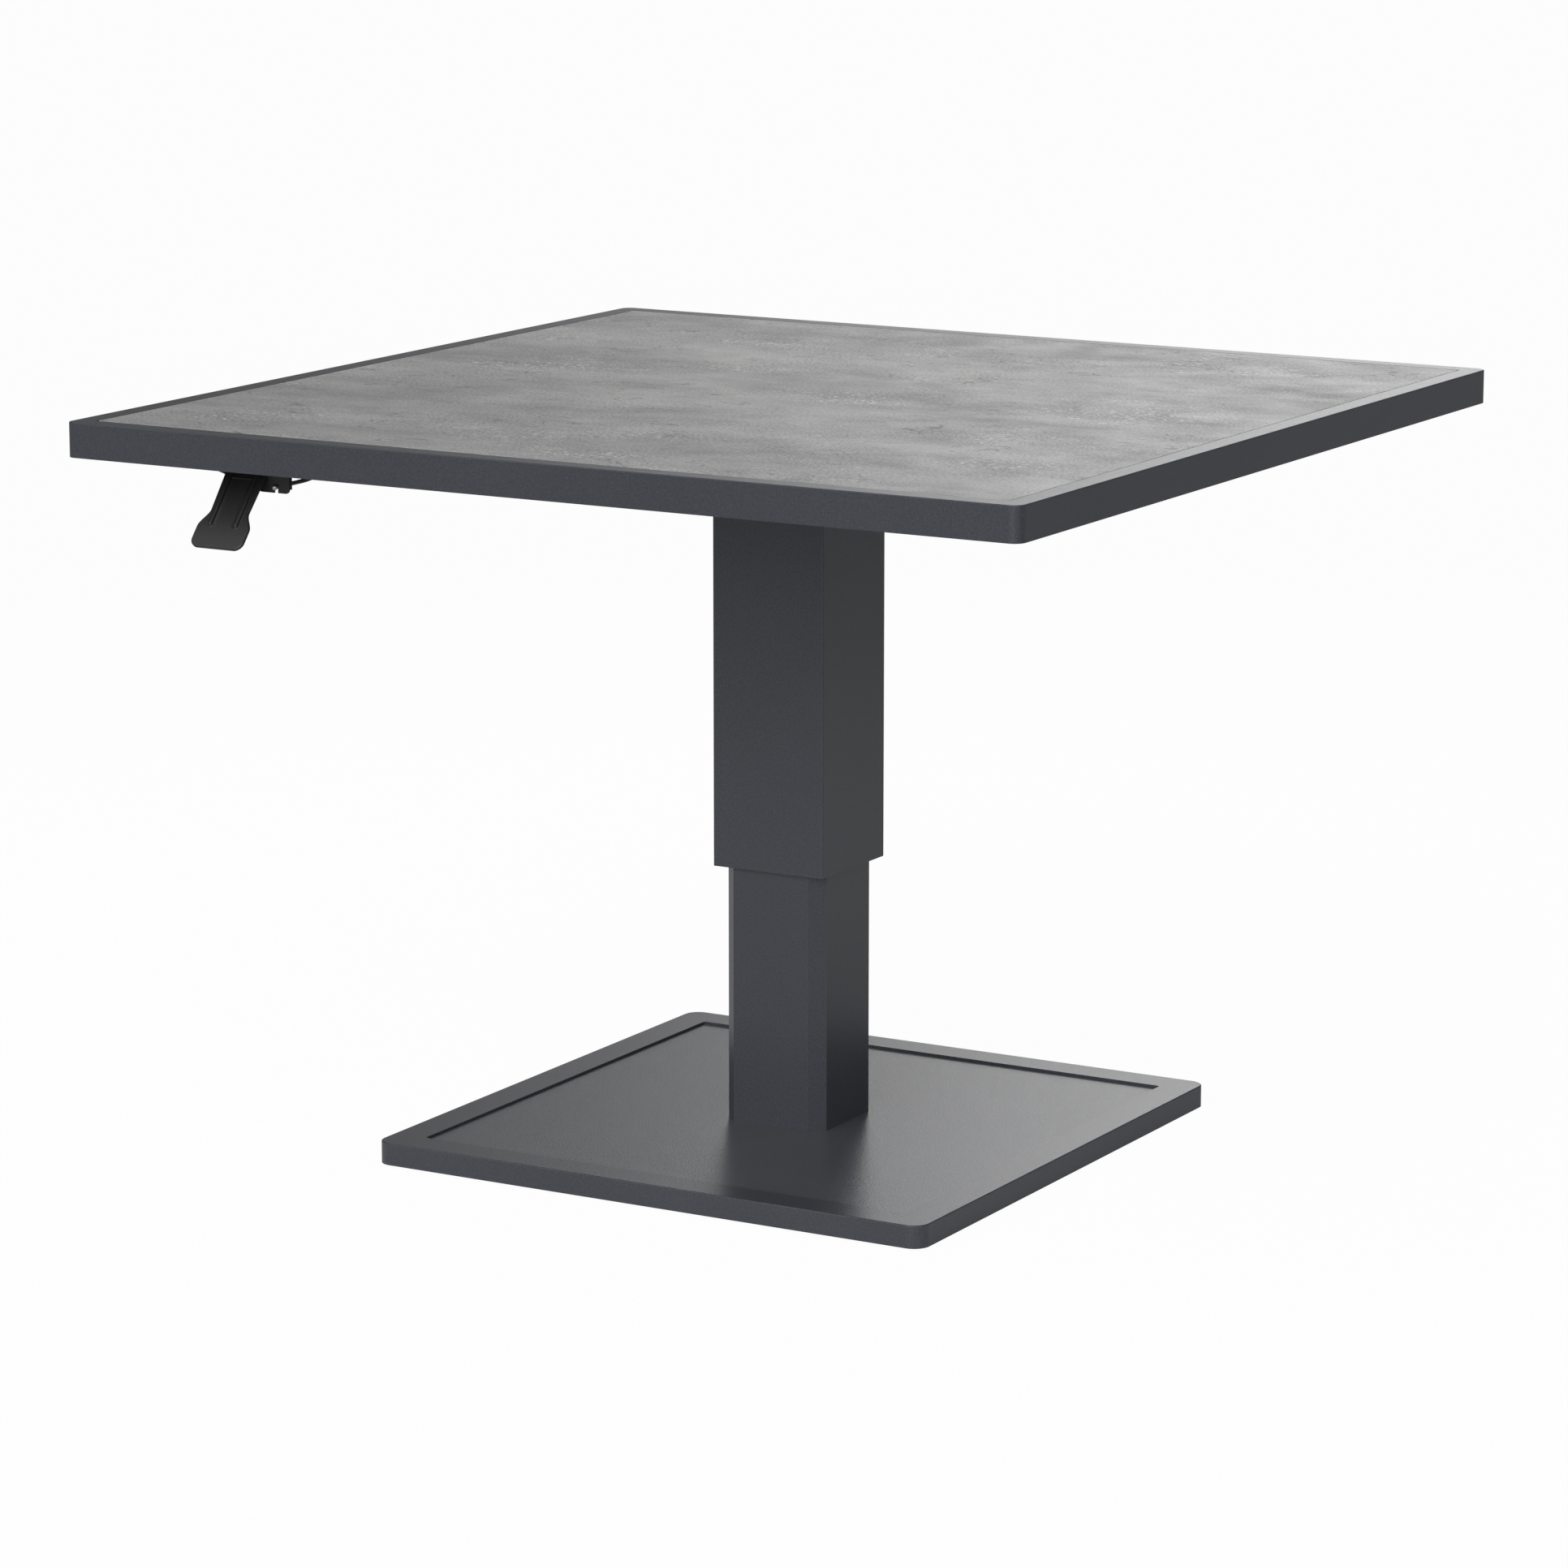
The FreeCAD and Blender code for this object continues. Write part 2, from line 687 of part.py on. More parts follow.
def build_frame():
    outside = round_rim(round_corners(prism("frame_outside", square("top_half"), "frame_high", z="frame_bottom"),
                                      "frame_corner"), "frame_edge")
    void_high = "frame_high - 2 * frame_wall"
    void = round_corners(prism("frame_void", square("top_half - frame_wall"), void_high,
                               z="frame_bottom + frame_wall"), "frame_corner - frame_wall")
    core = prism("frame_core", square("frame_inside + frame_wall"), void_high, z="frame_bottom + frame_wall")
    opening = prism("frame_opening", square("frame_inside"), "frame_high", z="frame_bottom")
    ledge = prism("ledge_sheet", square("frame_inside"), "ledge_thick", z="ledge_bottom")
    ledge_opening = prism("ledge_opening", square("ledge_inside"), "ledge_thick", z="ledge_bottom")
    ring = fuse("frame_ring", cut("frame_tube", outside, opening, cut("frame_hollow", void, core)),
                cut("ledge", ledge, ledge_opening))
    mitred_bars("frame", ring)


def build_slab():
    slab = round_rim(round_corners(prism("slab_board", square("slab_half"), "slab_thick", z="slab_bottom"),
                                   "slab_corner"), "slab_edge")
    keep("table_slab", slab)
    near = "ledge_inside + tape_inset"
    far = "frame_inside - tape_inset"
    high = ("ledge_top", "slab_bottom")
    strips = [block("tape_back", (f"-({far})", far), (near, far), high),
              block("tape_front", (f"-({far})", far), (f"-({far})", f"-({near})"), high),
              block("tape_left", (f"-({far})", f"-({near})"), (f"-({near})", near), high),
              block("tape_right", (near, far), (f"-({near})", near), high)]
    keep("slab_tape", group("tape_strips", strips))


rails = {
    "rail_outer_left": "-outer_rail_x",
    "rail_inner_left": "-inner_rail_x",
    "rail_inner_right": "inner_rail_x",
    "rail_outer_right": "outer_rail_x",
}
plate_screw_places = [(x, y) for x in ("-inner_rail_x", "inner_rail_x")
                      for y in ("-plate_screw_far", "-plate_screw_near", "plate_screw_near", "plate_screw_far")]
bracket_screw_places = [(f"bracket_screw_x * {side} - outer_rail_x", f"lever_y + bracket_screw_y * {end}")
                        for side in (-1, 1) for end in (-1, 1)]
rail_clip_screw = ("rail_run_x - strap_screw_at", "rail_clip_y")
plate_clip_screw = ("plate_clip_x", "strap_screw_at")
yoke_screw_places = [(x, y) for x in ("-yoke_screw_x", "yoke_screw_x") for y in ("-yoke_screw_y", "yoke_screw_y")]


def build_rails():
    for node, x in rails.items():
        side = (f"{x} - rail_wide / 2", f"{x} + rail_wide / 2")
        inside = (f"{x} - rail_wide / 2 + rail_wall", f"{x} + rail_wide / 2 - rail_wall")
        bar = block(node + "_bar", side, ("-frame_inside", "frame_inside"), ("frame_bottom", "ledge_bottom"))
        void = block(node + "_void", inside, ("-frame_inside", "frame_inside"),
                     ("frame_bottom + rail_wall", "ledge_bottom - rail_wall"))
        drilled = [("plate_screw", spot) for spot in plate_screw_places if spot[0] == x]
        if node == "rail_outer_left":
            drilled += [("bracket_screw", spot) for spot in bracket_screw_places]
            drilled.append(("strap_screw", rail_clip_screw))
        holes = [rod(f"{node}_hole_{index}", radius, "rail_wall", *spot, "frame_bottom")
                 for index, (radius, spot) in enumerate(drilled)]
        keep(node, cut(node + "_tube", bar, void, *holes))
    pads = [block(f"rail_pad_{index}", (f"{x} - pad_wide / 2", f"{x} + pad_wide / 2"),
                  ("pad_inset - ledge_inside", "ledge_inside - pad_inset"), ("ledge_bottom", "slab_bottom"))
            for index, x in enumerate(rails.values())]
    keep("rail_pads", group("rail_pad_set", pads))


def build_head_plate():
    half = "plate_width / 2"
    plate = block("plate_sheet", (f"-{half}", half), (f"-{half}", half), ("plate_bottom", "frame_bottom"))
    holes = [rod(f"plate_hole_{index}", "plate_screw + plate_screw_gap", "plate_thick", x, y, "plate_bottom")
             for index, (x, y) in enumerate(plate_screw_places)]
    threads = [("yoke_screw", spot) for spot in yoke_screw_places] + [("strap_screw", plate_clip_screw)]
    holes += [rod(f"plate_thread_{index}", radius, "plate_thick", *spot, "plate_bottom")
              for index, (radius, spot) in enumerate(threads)]
    keep("head_plate", cut("plate", plate, *holes))
    screws = [pan_screw(f"plate_screw_{index}", "plate_screw", "plate_screw_head", "plate_screw_head_high",
                        "plate_screw_reach", x, y, "plate_bottom")
              for index, (x, y) in enumerate(plate_screw_places)]
    keep("head_plate_screws", group("plate_screw_set", screws))


def build_upper_tube():
    outside = round_corners(prism("upper_outside", square("upper_half"), "upper_length", z="upper_bottom"),
                            "upper_corner")
    bore = prism("upper_bore", square("upper_inside"), "upper_length", z="upper_bottom")
    cable_hole = rod("cable_hole", "grommet_radius", "upper_wall", "-upper_half", "0", "wire_level", along="X")
    keep("upper_tube", cut("upper_tube_wall", outside, bore, cable_hole))
    sleeve = prism("bottom_guide_outside", square("upper_inside"), "guide_long", z="bushing_bottom")
    passage = prism("bottom_guide_passage", octagon("lower_half + slide_gap", "running_chamfer"), "guide_long",
                    z="bushing_bottom")
    keep("bottom_guide", cut("bottom_guide_sleeve", sleeve, passage))


# Moving half of the gas spring, and the gear that presses its valve pin.

def build_gas_spring_rod():
    rod_bottom = "piston_top - piston_long - rod_tail"
    bar = rod("rod_bar", "rod_radius", f"rod_top - ({rod_bottom})", z=rod_bottom)
    bore = rod("rod_bore", "pin_radius + fit_gap", "rod_top - valve_bottom + pin_room", z="valve_bottom - pin_room")
    keep("gas_spring_rod", cut("rod", bar, bore))
    disc = rod("piston_disc", "cylinder_inside - fit_gap", "piston_long", z="piston_top - piston_long")
    keep("gas_spring_piston", cut("piston", disc, rod("piston_bore", "rod_radius", "piston_long",
                                                      z="piston_top - piston_long")))
    nuts = []
    for name, level in (("lower", "yoke_bottom - nut_high"), ("upper", "yoke_floor")):
        blank = hexagon(f"{name}_nut_blank", "nut_width", "nut_high", level)
        nuts.append(cut(f"{name}_nut", blank, rod(f"{name}_nut_thread", "rod_radius", "nut_high", z=level)))
    keep("rod_nuts", group("rod_nut_pair", nuts))
    keep("valve_pin", rod("valve_pin_rod", "pin_radius", "pin_long", z="valve_bottom"))


def build_yoke():
    along = ("-yoke_half", "yoke_half")
    floor = block("yoke_floor_sheet", along, ("-yoke_outside", "yoke_outside"), ("yoke_bottom", "yoke_floor"))
    front = block("yoke_front_sheet", ("-yoke_half", "yoke_front - yoke_half"), ("-yoke_outside", "yoke_outside"),
                  ("yoke_bottom", "plate_bottom"))
    walls = []
    for name, near, far, brim in (("back", "yoke_inside", "yoke_outside", "yoke_outside + flange_reach"),
                                  ("front", "-yoke_outside", "-yoke_inside", "0 - yoke_outside - flange_reach")):
        walls.append(block(f"yoke_wall_{name}", along, (near, far), ("yoke_bottom", "plate_bottom")))
        flange = ("yoke_outside", brim) if name == "back" else (brim, "-yoke_outside")
        walls.append(block(f"yoke_flange_{name}", along, flange, ("plate_bottom - yoke_thick", "plate_bottom")))
    tools = [rod("yoke_rod_hole", "rod_radius", "yoke_thick", z="yoke_bottom"),
             rod("yoke_pin_hole", "crank_pin_radius", "2 * yoke_outside", "crank_nose", "-yoke_outside",
                 "crank_level", along="Y"),
             rod("yoke_ferrule_hole", "ferrule_neck", "yoke_front", "-yoke_half", "0", "wire_level", along="X")]
    tools += [rod(f"yoke_screw_hole_{index}", "yoke_screw", "yoke_thick", x, y, "plate_bottom - yoke_thick")
              for index, (x, y) in enumerate(yoke_screw_places)]
    keep("release_yoke", cut("yoke", fuse("yoke_sheets", floor, front, *walls), *tools))
    screws = [pan_screw(f"yoke_screw_{index}", "yoke_screw", "yoke_screw_head", "yoke_screw_head_high",
                        "yoke_thick + plate_thick", x, y, "plate_bottom - yoke_thick")
              for index, (x, y) in enumerate(yoke_screw_places)]
    keep("yoke_screws", group("yoke_screw_set", screws))


def build_crank():
    half = "crank_thick / 2"
    hub = rod("crank_hub_rod", "crank_hub", "hub_long", "crank_nose", "-hub_long / 2", "crank_level", along="Y")
    arm = block("crank_arm_bar", ("crank_nose - crank_wide / 2", "crank_nose + crank_wide / 2"),
                (f"-{half}", half), ("crank_level", "wire_level + fork_above"))
    nose = rod("crank_nose_rod", "nose_radius", "crank_thick", "0", f"-{half}", "crank_level", along="Y")
    neck = block("crank_neck", ("0", "crank_nose"), (f"-{half}", half),
                 ("crank_level - nose_radius", "crank_level + nose_radius"))
    bore = rod("crank_bore", "crank_pin_radius + fit_gap", "hub_long", "crank_nose", "-hub_long / 2",
               "crank_level", along="Y")
    fork = block("crank_fork", ("crank_nose - crank_wide / 2", "crank_nose + crank_wide / 2"),
                 ("-fork_slot / 2", "fork_slot / 2"), ("wire_level - fork_below", "wire_level + fork_above"))
    keep("release_crank", cut("crank", fuse("crank_blank", hub, arm, nose, neck), bore, fork))
    shaft = rod("crank_pin_shaft", "crank_pin_radius", "2 * yoke_outside + pin_end", "crank_nose",
                "-yoke_outside", "crank_level", along="Y")
    head = rod("crank_pin_head", "pin_head", "pin_head_long", "crank_nose",
               "0 - yoke_outside - pin_head_long", "crank_level", along="Y")
    keep("crank_pin", fuse("crank_pin_solid", shaft, head))
    ring = rod("crank_clip_disc", "pin_head", "clip_ring", "crank_nose", "yoke_outside", "crank_level", along="Y")
    keep("crank_pin_clip", cut("crank_clip", ring, rod("crank_clip_bore", "crank_pin_radius", "clip_ring",
                                                       "crank_nose", "yoke_outside", "crank_level", along="Y")))


build_frame()
build_slab()
build_rails()
build_head_plate()
build_upper_tube()
build_gas_spring_rod()
build_yoke()
build_crank()


# Release lever under the front edge: bracket on the outer rail, pivot pin, steel arm and plastic paddle.

def on_lever(thing, side, along, depth):
    """Puts a thing drawn in the paddle's own frame: across, down the paddle from the pivot, and behind its plane."""
    thing.Placement.Rotation = FreeCAD.Rotation(FreeCAD.Vector(1, 0, 0), 180 + size("lever_angle"))
    thing.setExpression(".Placement.Rotation.Angle", linked("180 + lever_angle"))
    return put(thing, f"lever_x + ({side})",
               f"lever_y - ({along}) * cos(lever_angle) + ({depth}) * sin(lever_angle)",
               f"lever_level - ({along}) * sin(lever_angle) - ({depth}) * cos(lever_angle)")


def ear(name, x, deep):
    """A bracket ear with the pivot hole; deep is how far it reaches under the pivot at the back."""
    outline = [("lever_y - bracket_half", "frame_bottom"),
               ("lever_y - bracket_half", "frame_bottom - ear_lip"),
               ("lever_y - ear_low", "lever_level - ear_shallow"),
               ("lever_y + ear_low", f"lever_level - {deep}"),
               ("lever_y + bracket_half - ear_low", f"lever_level - {deep}"),
               ("lever_y + bracket_half", "frame_bottom")]
    return prism(name, outline, "ear_thick", x=x, face="YZ")


def build_bracket():
    across = ("ear_left - ear_thick", "ear_right + ear_thick")
    top = block("bracket_top", across, ("lever_y - bracket_half", "lever_y + bracket_half"),
                ("bracket_floor", "frame_bottom"))
    tab = block("bracket_tab", ("wire_x - tab_half", "wire_x + tab_half"), ("tab_front", "tab_rear"),
                ("keyhole_level - tab_below", "bracket_floor"))
    left = ear("bracket_ear_left", "ear_left - ear_thick", "ear_deep")
    right = ear("bracket_ear_right", "ear_right", "ear_shallow")
    tools = [rod("bracket_pin_hole", "lever_pin", "ear_right - ear_left + 2 * ear_thick", "ear_left - ear_thick",
                 "lever_y", "lever_level", along="X"),
             rod("tab_hole", "ferrule_neck", "tab_thick", "wire_x", "tab_front", "keyhole_level", along="Y")]
    tools += [rod(f"bracket_screw_hole_{index}", "bracket_screw", "ear_thick", x, y, "bracket_floor")
              for index, (x, y) in enumerate(bracket_screw_places)]
    keep("lever_bracket", cut("bracket", fuse("bracket_sheets", top, tab, left, right), *tools))
    screws = [pan_screw(f"bracket_screw_{index}", "bracket_screw", "bracket_screw_head", "bracket_screw_head_high",
                        "bracket_screw_deep", x, y, "bracket_floor")
              for index, (x, y) in enumerate(bracket_screw_places)]
    keep("bracket_screws", group("bracket_screw_set", screws))
    shaft = rod("lever_pin_shaft", "lever_pin", "ear_right - ear_left + 2 * ear_thick + pin_end",
                "ear_left - ear_thick", "lever_y", "lever_level", along="X")
    head = rod("lever_pin_cap", "lever_pin_head", "pin_head_long", "ear_left - ear_thick - pin_head_long",
               "lever_y", "lever_level", along="X")
    keep("pivot_pin", fuse("pivot_pin_solid", shaft, head))
    at = ("ear_right + ear_thick", "lever_y", "lever_level")
    ring = rod("lever_clip_disc", "lever_clip", "clip_ring", *at, along="X")
    keep("pivot_clip", cut("lever_clip_ring", ring, rod("lever_clip_bore", "lever_pin", "clip_ring", *at,
                                                        along="X")))


paddle_screw_places = ("paddle_screw_near", "paddle_screw_far")


def paddle_screw_holes(name):
    """Round holes for the paddle screws through the tongue and into the paddle."""
    reach = "tongue_thick + paddle_thick - paddle_screw_skin"
    return [on_lever(rod(f"{name}_hole_{index}", "paddle_screw", reach), "0", along,
                     "paddle_screw_skin - paddle_thick / 2")
            for index, along in enumerate(paddle_screw_places)]


def build_lever_arm():
    hub = rod("lever_hub_rod", "lever_hub", "hub_left + hub_right", "lever_x - hub_left", "lever_y", "lever_level",
              along="X")
    bore = rod("lever_hub_bore", "lever_pin + fit_gap", "hub_left + hub_right", "lever_x - hub_left", "lever_y",
               "lever_level", along="X")
    foot = "keyhole_level - arm_below"
    outline = [("arm_left_edge", foot), ("arm_right_edge", foot),
               ("arm_right_edge", "lever_level"), ("arm_left_edge", "lever_level")]
    plate = round_corners(prism("keyhole_plate", outline, "arm_thick", y="lever_y + arm_thick / 2", face="XZ"),
                          "arm_corner", [0, 1])
    eye = rod("keyhole_eye", "keyhole_half", "2 * arm_thick", "wire_x", "lever_y - arm_thick", "keyhole_level",
              along="Y")
    slot = block("keyhole_slot", ("wire_x - keyhole_half", "wire_x + keyhole_half"),
                 ("lever_y - arm_thick", "lever_y + arm_thick"), ("keyhole_level - 2 * arm_below", "keyhole_level"))
    half = "tongue_wide / 2"
    tongue_outline = [(f"-{half}", "0"), (half, "0"), (half, "tongue_long"), (f"-{half}", "tongue_long")]
    tongue = on_lever(prism("lever_tongue", tongue_outline, "tongue_thick"), "0", "0", "paddle_thick / 2")
    blank = fuse("lever_arm_blank", hub, plate, tongue)
    keep("lever_arm", cut("lever_arm_solid", blank, bore, eye, slot, *paddle_screw_holes("tongue")))


def build_paddle():
    stem = "stem_wide / 2"
    waist = "waist_wide / 2"
    blade = "blade_wide / 2"
    outline = [(f"-{stem}", "paddle_start"), (f"-{waist}", "flare_start"), (f"-{blade}", "flare_end"),
               (f"-{blade}", "paddle_long"), (blade, "paddle_long"), (blade, "flare_end"),
               (waist, "flare_start"), (stem, "paddle_start")]
    plate = prism("paddle_plate", outline, "paddle_thick")
    round_corners(plate, "blade_corner", [3, 4])
    round_corners(plate, "2 * blade_corner", [1, 2, 5, 6])
    round_rim(plate, "paddle_edge", at_end=False)
    pieces = [on_lever(plate, "0", "0", "-paddle_thick / 2")]
    for name, side in (("left", "-rib_apart / 2"), ("right", "rib_apart / 2")):
        near, far = f"{side} - rib_wide / 2", f"{side} + rib_wide / 2"
        foot = "paddle_long - rib_end"
        rib_outline = [(near, "paddle_start"), (far, "paddle_start"), (far, foot), (near, foot)]
        rib = round_corners(prism(f"paddle_rib_{name}", rib_outline, "rib_high + paddle_thick / 2"),
                            "rib_corner", [2, 3])
        pieces.append(on_lever(rib, "0", "0", "-paddle_thick / 2 - rib_high"))
    reach = "rib_apart / 2"
    cross_outline = [(f"-{reach}", "cross_rib_at"), (reach, "cross_rib_at"),
                     (reach, "cross_rib_at + cross_rib_wide"), (f"-{reach}", "cross_rib_at + cross_rib_wide")]
    pieces.append(on_lever(prism("paddle_cross_rib", cross_outline, "rib_high"), "0", "0",
                           "-paddle_thick / 2 - rib_high / 2"))
    keep("lever_paddle", cut("paddle", fuse("paddle_blank", *pieces), *paddle_screw_holes("paddle")))
    screws = []
    back = "paddle_thick / 2 + tongue_thick"
    for index, along in enumerate(paddle_screw_places):
        shank = on_lever(rod(f"paddle_screw_shank_{index}", "paddle_screw",
                             "tongue_thick + paddle_thick - paddle_screw_skin"), "0", along,
                         "paddle_screw_skin - paddle_thick / 2")
        head = on_lever(rod(f"paddle_screw_head_{index}", "paddle_screw_head", "paddle_screw_head_high"),
                        "0", along, back)
        screws.append(fuse(f"paddle_screw_{index}", shank, head))
    keep("paddle_screws", group("paddle_screw_pair", screws))


# Release cable: a sheath clipped under the top, a ferrule at each end, and the ends of the wire that slide in it.

straight = size("clip_straight")
rail_run = [(size("rail_run_x"), size("rail_clip_y") + end, size("rail_run_level")) for end in (-straight, straight)]
plate_run = [(size("plate_clip_x") + end, 0, size("plate_run_level")) for end in (-straight, straight)]
free_run_shares = [(0.025, 0.205, 0), (0.105, 0.4, 0.1), (0.25, 0.58, 0.25), (0.44, 0.74, 0.42), (0.69, 0.88, 0.67)]
free_run = [tuple(near + share * (far - near) for share, near, far in zip(shares, rail_run[1], plate_run[0]))
            for shares in free_run_shares]
sheath_points = [
    (size("wire_x"), size("wire_start"), size("keyhole_level")),
    (size("wire_x"), size("wire_start") + size("lever_straight"), size("keyhole_level")),
    *rail_run,
    *free_run,
    *plate_run,
    (-size("upper_half") - size("grommet_straight"), 0, size("wire_level")),
    (size("wire_end"), 0, size("wire_level")),
]
arc_share = 0.45


def rounded_path(points):
    """Straight runs through the points, joined by tangent arcs as large as the shorter run allows."""
    corners = [FreeCAD.Vector(*point) for point in points]
    edges = []
    start = corners[0]
    radii = []
    for before, corner, after in zip(corners, corners[1:], corners[2:]):
        back = (before - corner).normalize()
        ahead = (after - corner).normalize()
        tangent = arc_share * min((before - corner).Length, (after - corner).Length)
        turn = math.pi - back.getAngle(ahead)
        radius = tangent / math.tan(turn / 2)
        middle = corner + (back + ahead).normalize() * (radius / math.cos(turn / 2) - radius)
        edges.append(Part.LineSegment(start, corner + back * tangent).toShape())
        edges.append(Part.Arc(corner + back * tangent, middle, corner + ahead * tangent).toShape())
        start = corner + ahead * tangent
        radii.append(radius)
    edges.append(Part.LineSegment(start, corners[-1]).toShape())
    print("sheath radii: " + ", ".join(f"{radius:.0f}" for radius in radii))
    return Part.Wire(edges)


def build_sheath():
    path = rounded_path(sheath_points)
    start = FreeCAD.Vector(*sheath_points[0])
    heading = path.Edges[0].tangentAt(path.Edges[0].FirstParameter)
    solids = []
    for radius in (size("sheath_radius"), size("sheath_bore")):
        ring = Part.Wire(Part.makeCircle(radius, start, heading))
        solids.append(path.makePipeShell([ring], True, True))
    tube = solids[0].cut(solids[1])
    section = math.pi * (size("sheath_radius") ** 2 - size("sheath_bore") ** 2)
    print(f"sheath volume {tube.Volume:.0f}, section times length {section * path.Length:.0f}")
    sheath = doc.addObject("Part::Feature", "sheath")
    sheath.Shape = tube
    keep("cable_sheath", sheath)


def build_ferrules():
    bore = "wire_radius + ferrule_gap"
    at = ("wire_x", "tab_front", "keyhole_level")
    solid = fuse("lever_ferrule_blank",
                 rod("lever_ferrule_neck", "ferrule_neck", "tab_thick", *at, along="Y"),
                 rod("lever_ferrule_collar", "ferrule_collar", "ferrule_long", "wire_x", "tab_rear",
                     "keyhole_level", along="Y"))
    keep("lever_ferrule", cut("lever_ferrule_solid", solid,
                              rod("lever_ferrule_bore", bore, "tab_thick + ferrule_long", *at, along="Y"),
                              rod("lever_ferrule_seat", "sheath_radius", "ferrule_seat", "wire_x", "wire_start",
                                  "keyhole_level", along="Y")))
    outer_end = "0 - yoke_half - ferrule_long"
    solid = fuse("head_ferrule_blank",
                 rod("head_ferrule_neck", "ferrule_neck", "yoke_front", "-yoke_half", "0", "wire_level", along="X"),
                 rod("head_ferrule_collar", "ferrule_collar", "ferrule_long", outer_end, "0", "wire_level",
                     along="X"))
    keep("head_ferrule", cut("head_ferrule_solid", solid,
                             rod("head_ferrule_bore", bore, "ferrule_long + yoke_front", outer_end, "0",
                                 "wire_level", along="X"),
                             rod("head_ferrule_seat", "sheath_radius", "ferrule_seat", outer_end, "0",
                                 "wire_level", along="X")))


def build_wire_ends():
    ball = doc.addObject("Part::Sphere", "lever_ball")
    bind(ball, Radius="ball_radius")
    put(ball, "wire_x", "ball_y", "keyhole_level")
    strand = rod("lever_wire_strand", "wire_radius", "wire_start + wire_hidden - ball_y", "wire_x", "ball_y",
                 "keyhole_level", along="Y")
    keep("lever_wire_end", fuse("lever_wire", ball, strand))
    barrel = rod("head_barrel", "barrel_radius", "barrel_long", "barrel_x", "-barrel_long / 2", "wire_level",
                 along="Y")
    strand = rod("head_wire_strand", "wire_radius", "barrel_x - wire_end + wire_hidden", "wire_end - wire_hidden",
                 "0", "wire_level", along="X")
    keep("head_wire_end", fuse("head_wire", barrel, strand))


def build_cable_clips():
    rail_level = "frame_bottom"
    plate_level = "plate_bottom"
    around = "sheath_radius + strap_thick"
    rail_strap = block("rail_strap", ("rail_run_x - strap_long", "rail_run_x"),
                       ("rail_clip_y - strap_wide / 2", "rail_clip_y + strap_wide / 2"),
                       (f"{rail_level} - strap_thick", rail_level))
    rail_ring = rod("rail_ring", around, "strap_wide", "rail_run_x", "rail_clip_y - strap_wide / 2",
                    "rail_run_level", along="Y")
    rail_bore = rod("rail_ring_bore", "sheath_radius", "strap_wide", "rail_run_x", "rail_clip_y - strap_wide / 2",
                    "rail_run_level", along="Y")
    rail_hole = rod("rail_strap_hole", "strap_screw", "strap_thick", *rail_clip_screw, f"{rail_level} - strap_thick")
    plate_strap = block("plate_strap", ("plate_clip_x - strap_wide / 2", "plate_clip_x + strap_wide / 2"),
                        ("0", "strap_long"), (f"{plate_level} - strap_thick", plate_level))
    plate_ring = rod("plate_ring", around, "strap_wide", "plate_clip_x - strap_wide / 2", "0", "plate_run_level",
                     along="X")
    plate_bore = rod("plate_ring_bore", "sheath_radius", "strap_wide", "plate_clip_x - strap_wide / 2", "0",
                     "plate_run_level", along="X")
    plate_hole = rod("plate_strap_hole", "strap_screw", "strap_thick", *plate_clip_screw,
                     f"{plate_level} - strap_thick")
    keep("cable_clips", group("cable_clip_pair", [
        cut("rail_clip", fuse("rail_clip_blank", rail_strap, rail_ring), rail_bore, rail_hole),
        cut("plate_clip", fuse("plate_clip_blank", plate_strap, plate_ring), plate_bore, plate_hole)]))
    keep("cable_clip_screws", group("cable_clip_screw_pair", [
        pan_screw(f"strap_screw_{index}", "strap_screw", "strap_screw_head", "strap_screw", "strap_screw_deep",
                  *spot, f"{level} - strap_thick")
        for index, (spot, level) in enumerate(((rail_clip_screw, rail_level), (plate_clip_screw, plate_level)))]))
    lip = rod("grommet_lip_disc", "grommet_flange", "grommet_lip", "0 - upper_half - grommet_lip", "0",
              "wire_level", along="X")
    plug = rod("grommet_plug", "grommet_radius", "upper_wall + grommet_lip", "-upper_half", "0", "wire_level",
               along="X")
    passage = rod("grommet_passage", "sheath_radius + grommet_gap", "upper_wall + 2 * grommet_lip",
                  "0 - upper_half - grommet_lip", "0", "wire_level", along="X")
    keep("tube_grommet", cut("grommet", fuse("grommet_blank", lip, plug), passage))


build_bracket()
build_lever_arm()
build_paddle()
build_sheath()
build_ferrules()
build_wire_ends()
build_cable_clips()


def check_and_write():
    """Refuses a document with a failed feature or a broken shape, then writes a file for each sub-part."""
    doc.recompute()
    for thing in doc.Objects:
        if "Invalid" in thing.State or "Error" in thing.State:
            raise RuntimeError(f"{thing.Name} failed: {thing.State}")
    os.makedirs("parts", exist_ok=True)
    for node, thing in parts.items():
        if thing.Shape.isNull() or not thing.Shape.isValid() or not thing.Shape.Solids:
            raise RuntimeError(f"{node} has no valid shape")
        thing.Shape.exportStep(f"parts/{node}.step")
        print(f"{node}: {len(thing.Shape.Solids)} solids, {thing.Shape.Volume:.0f} mm3")


check_and_write()
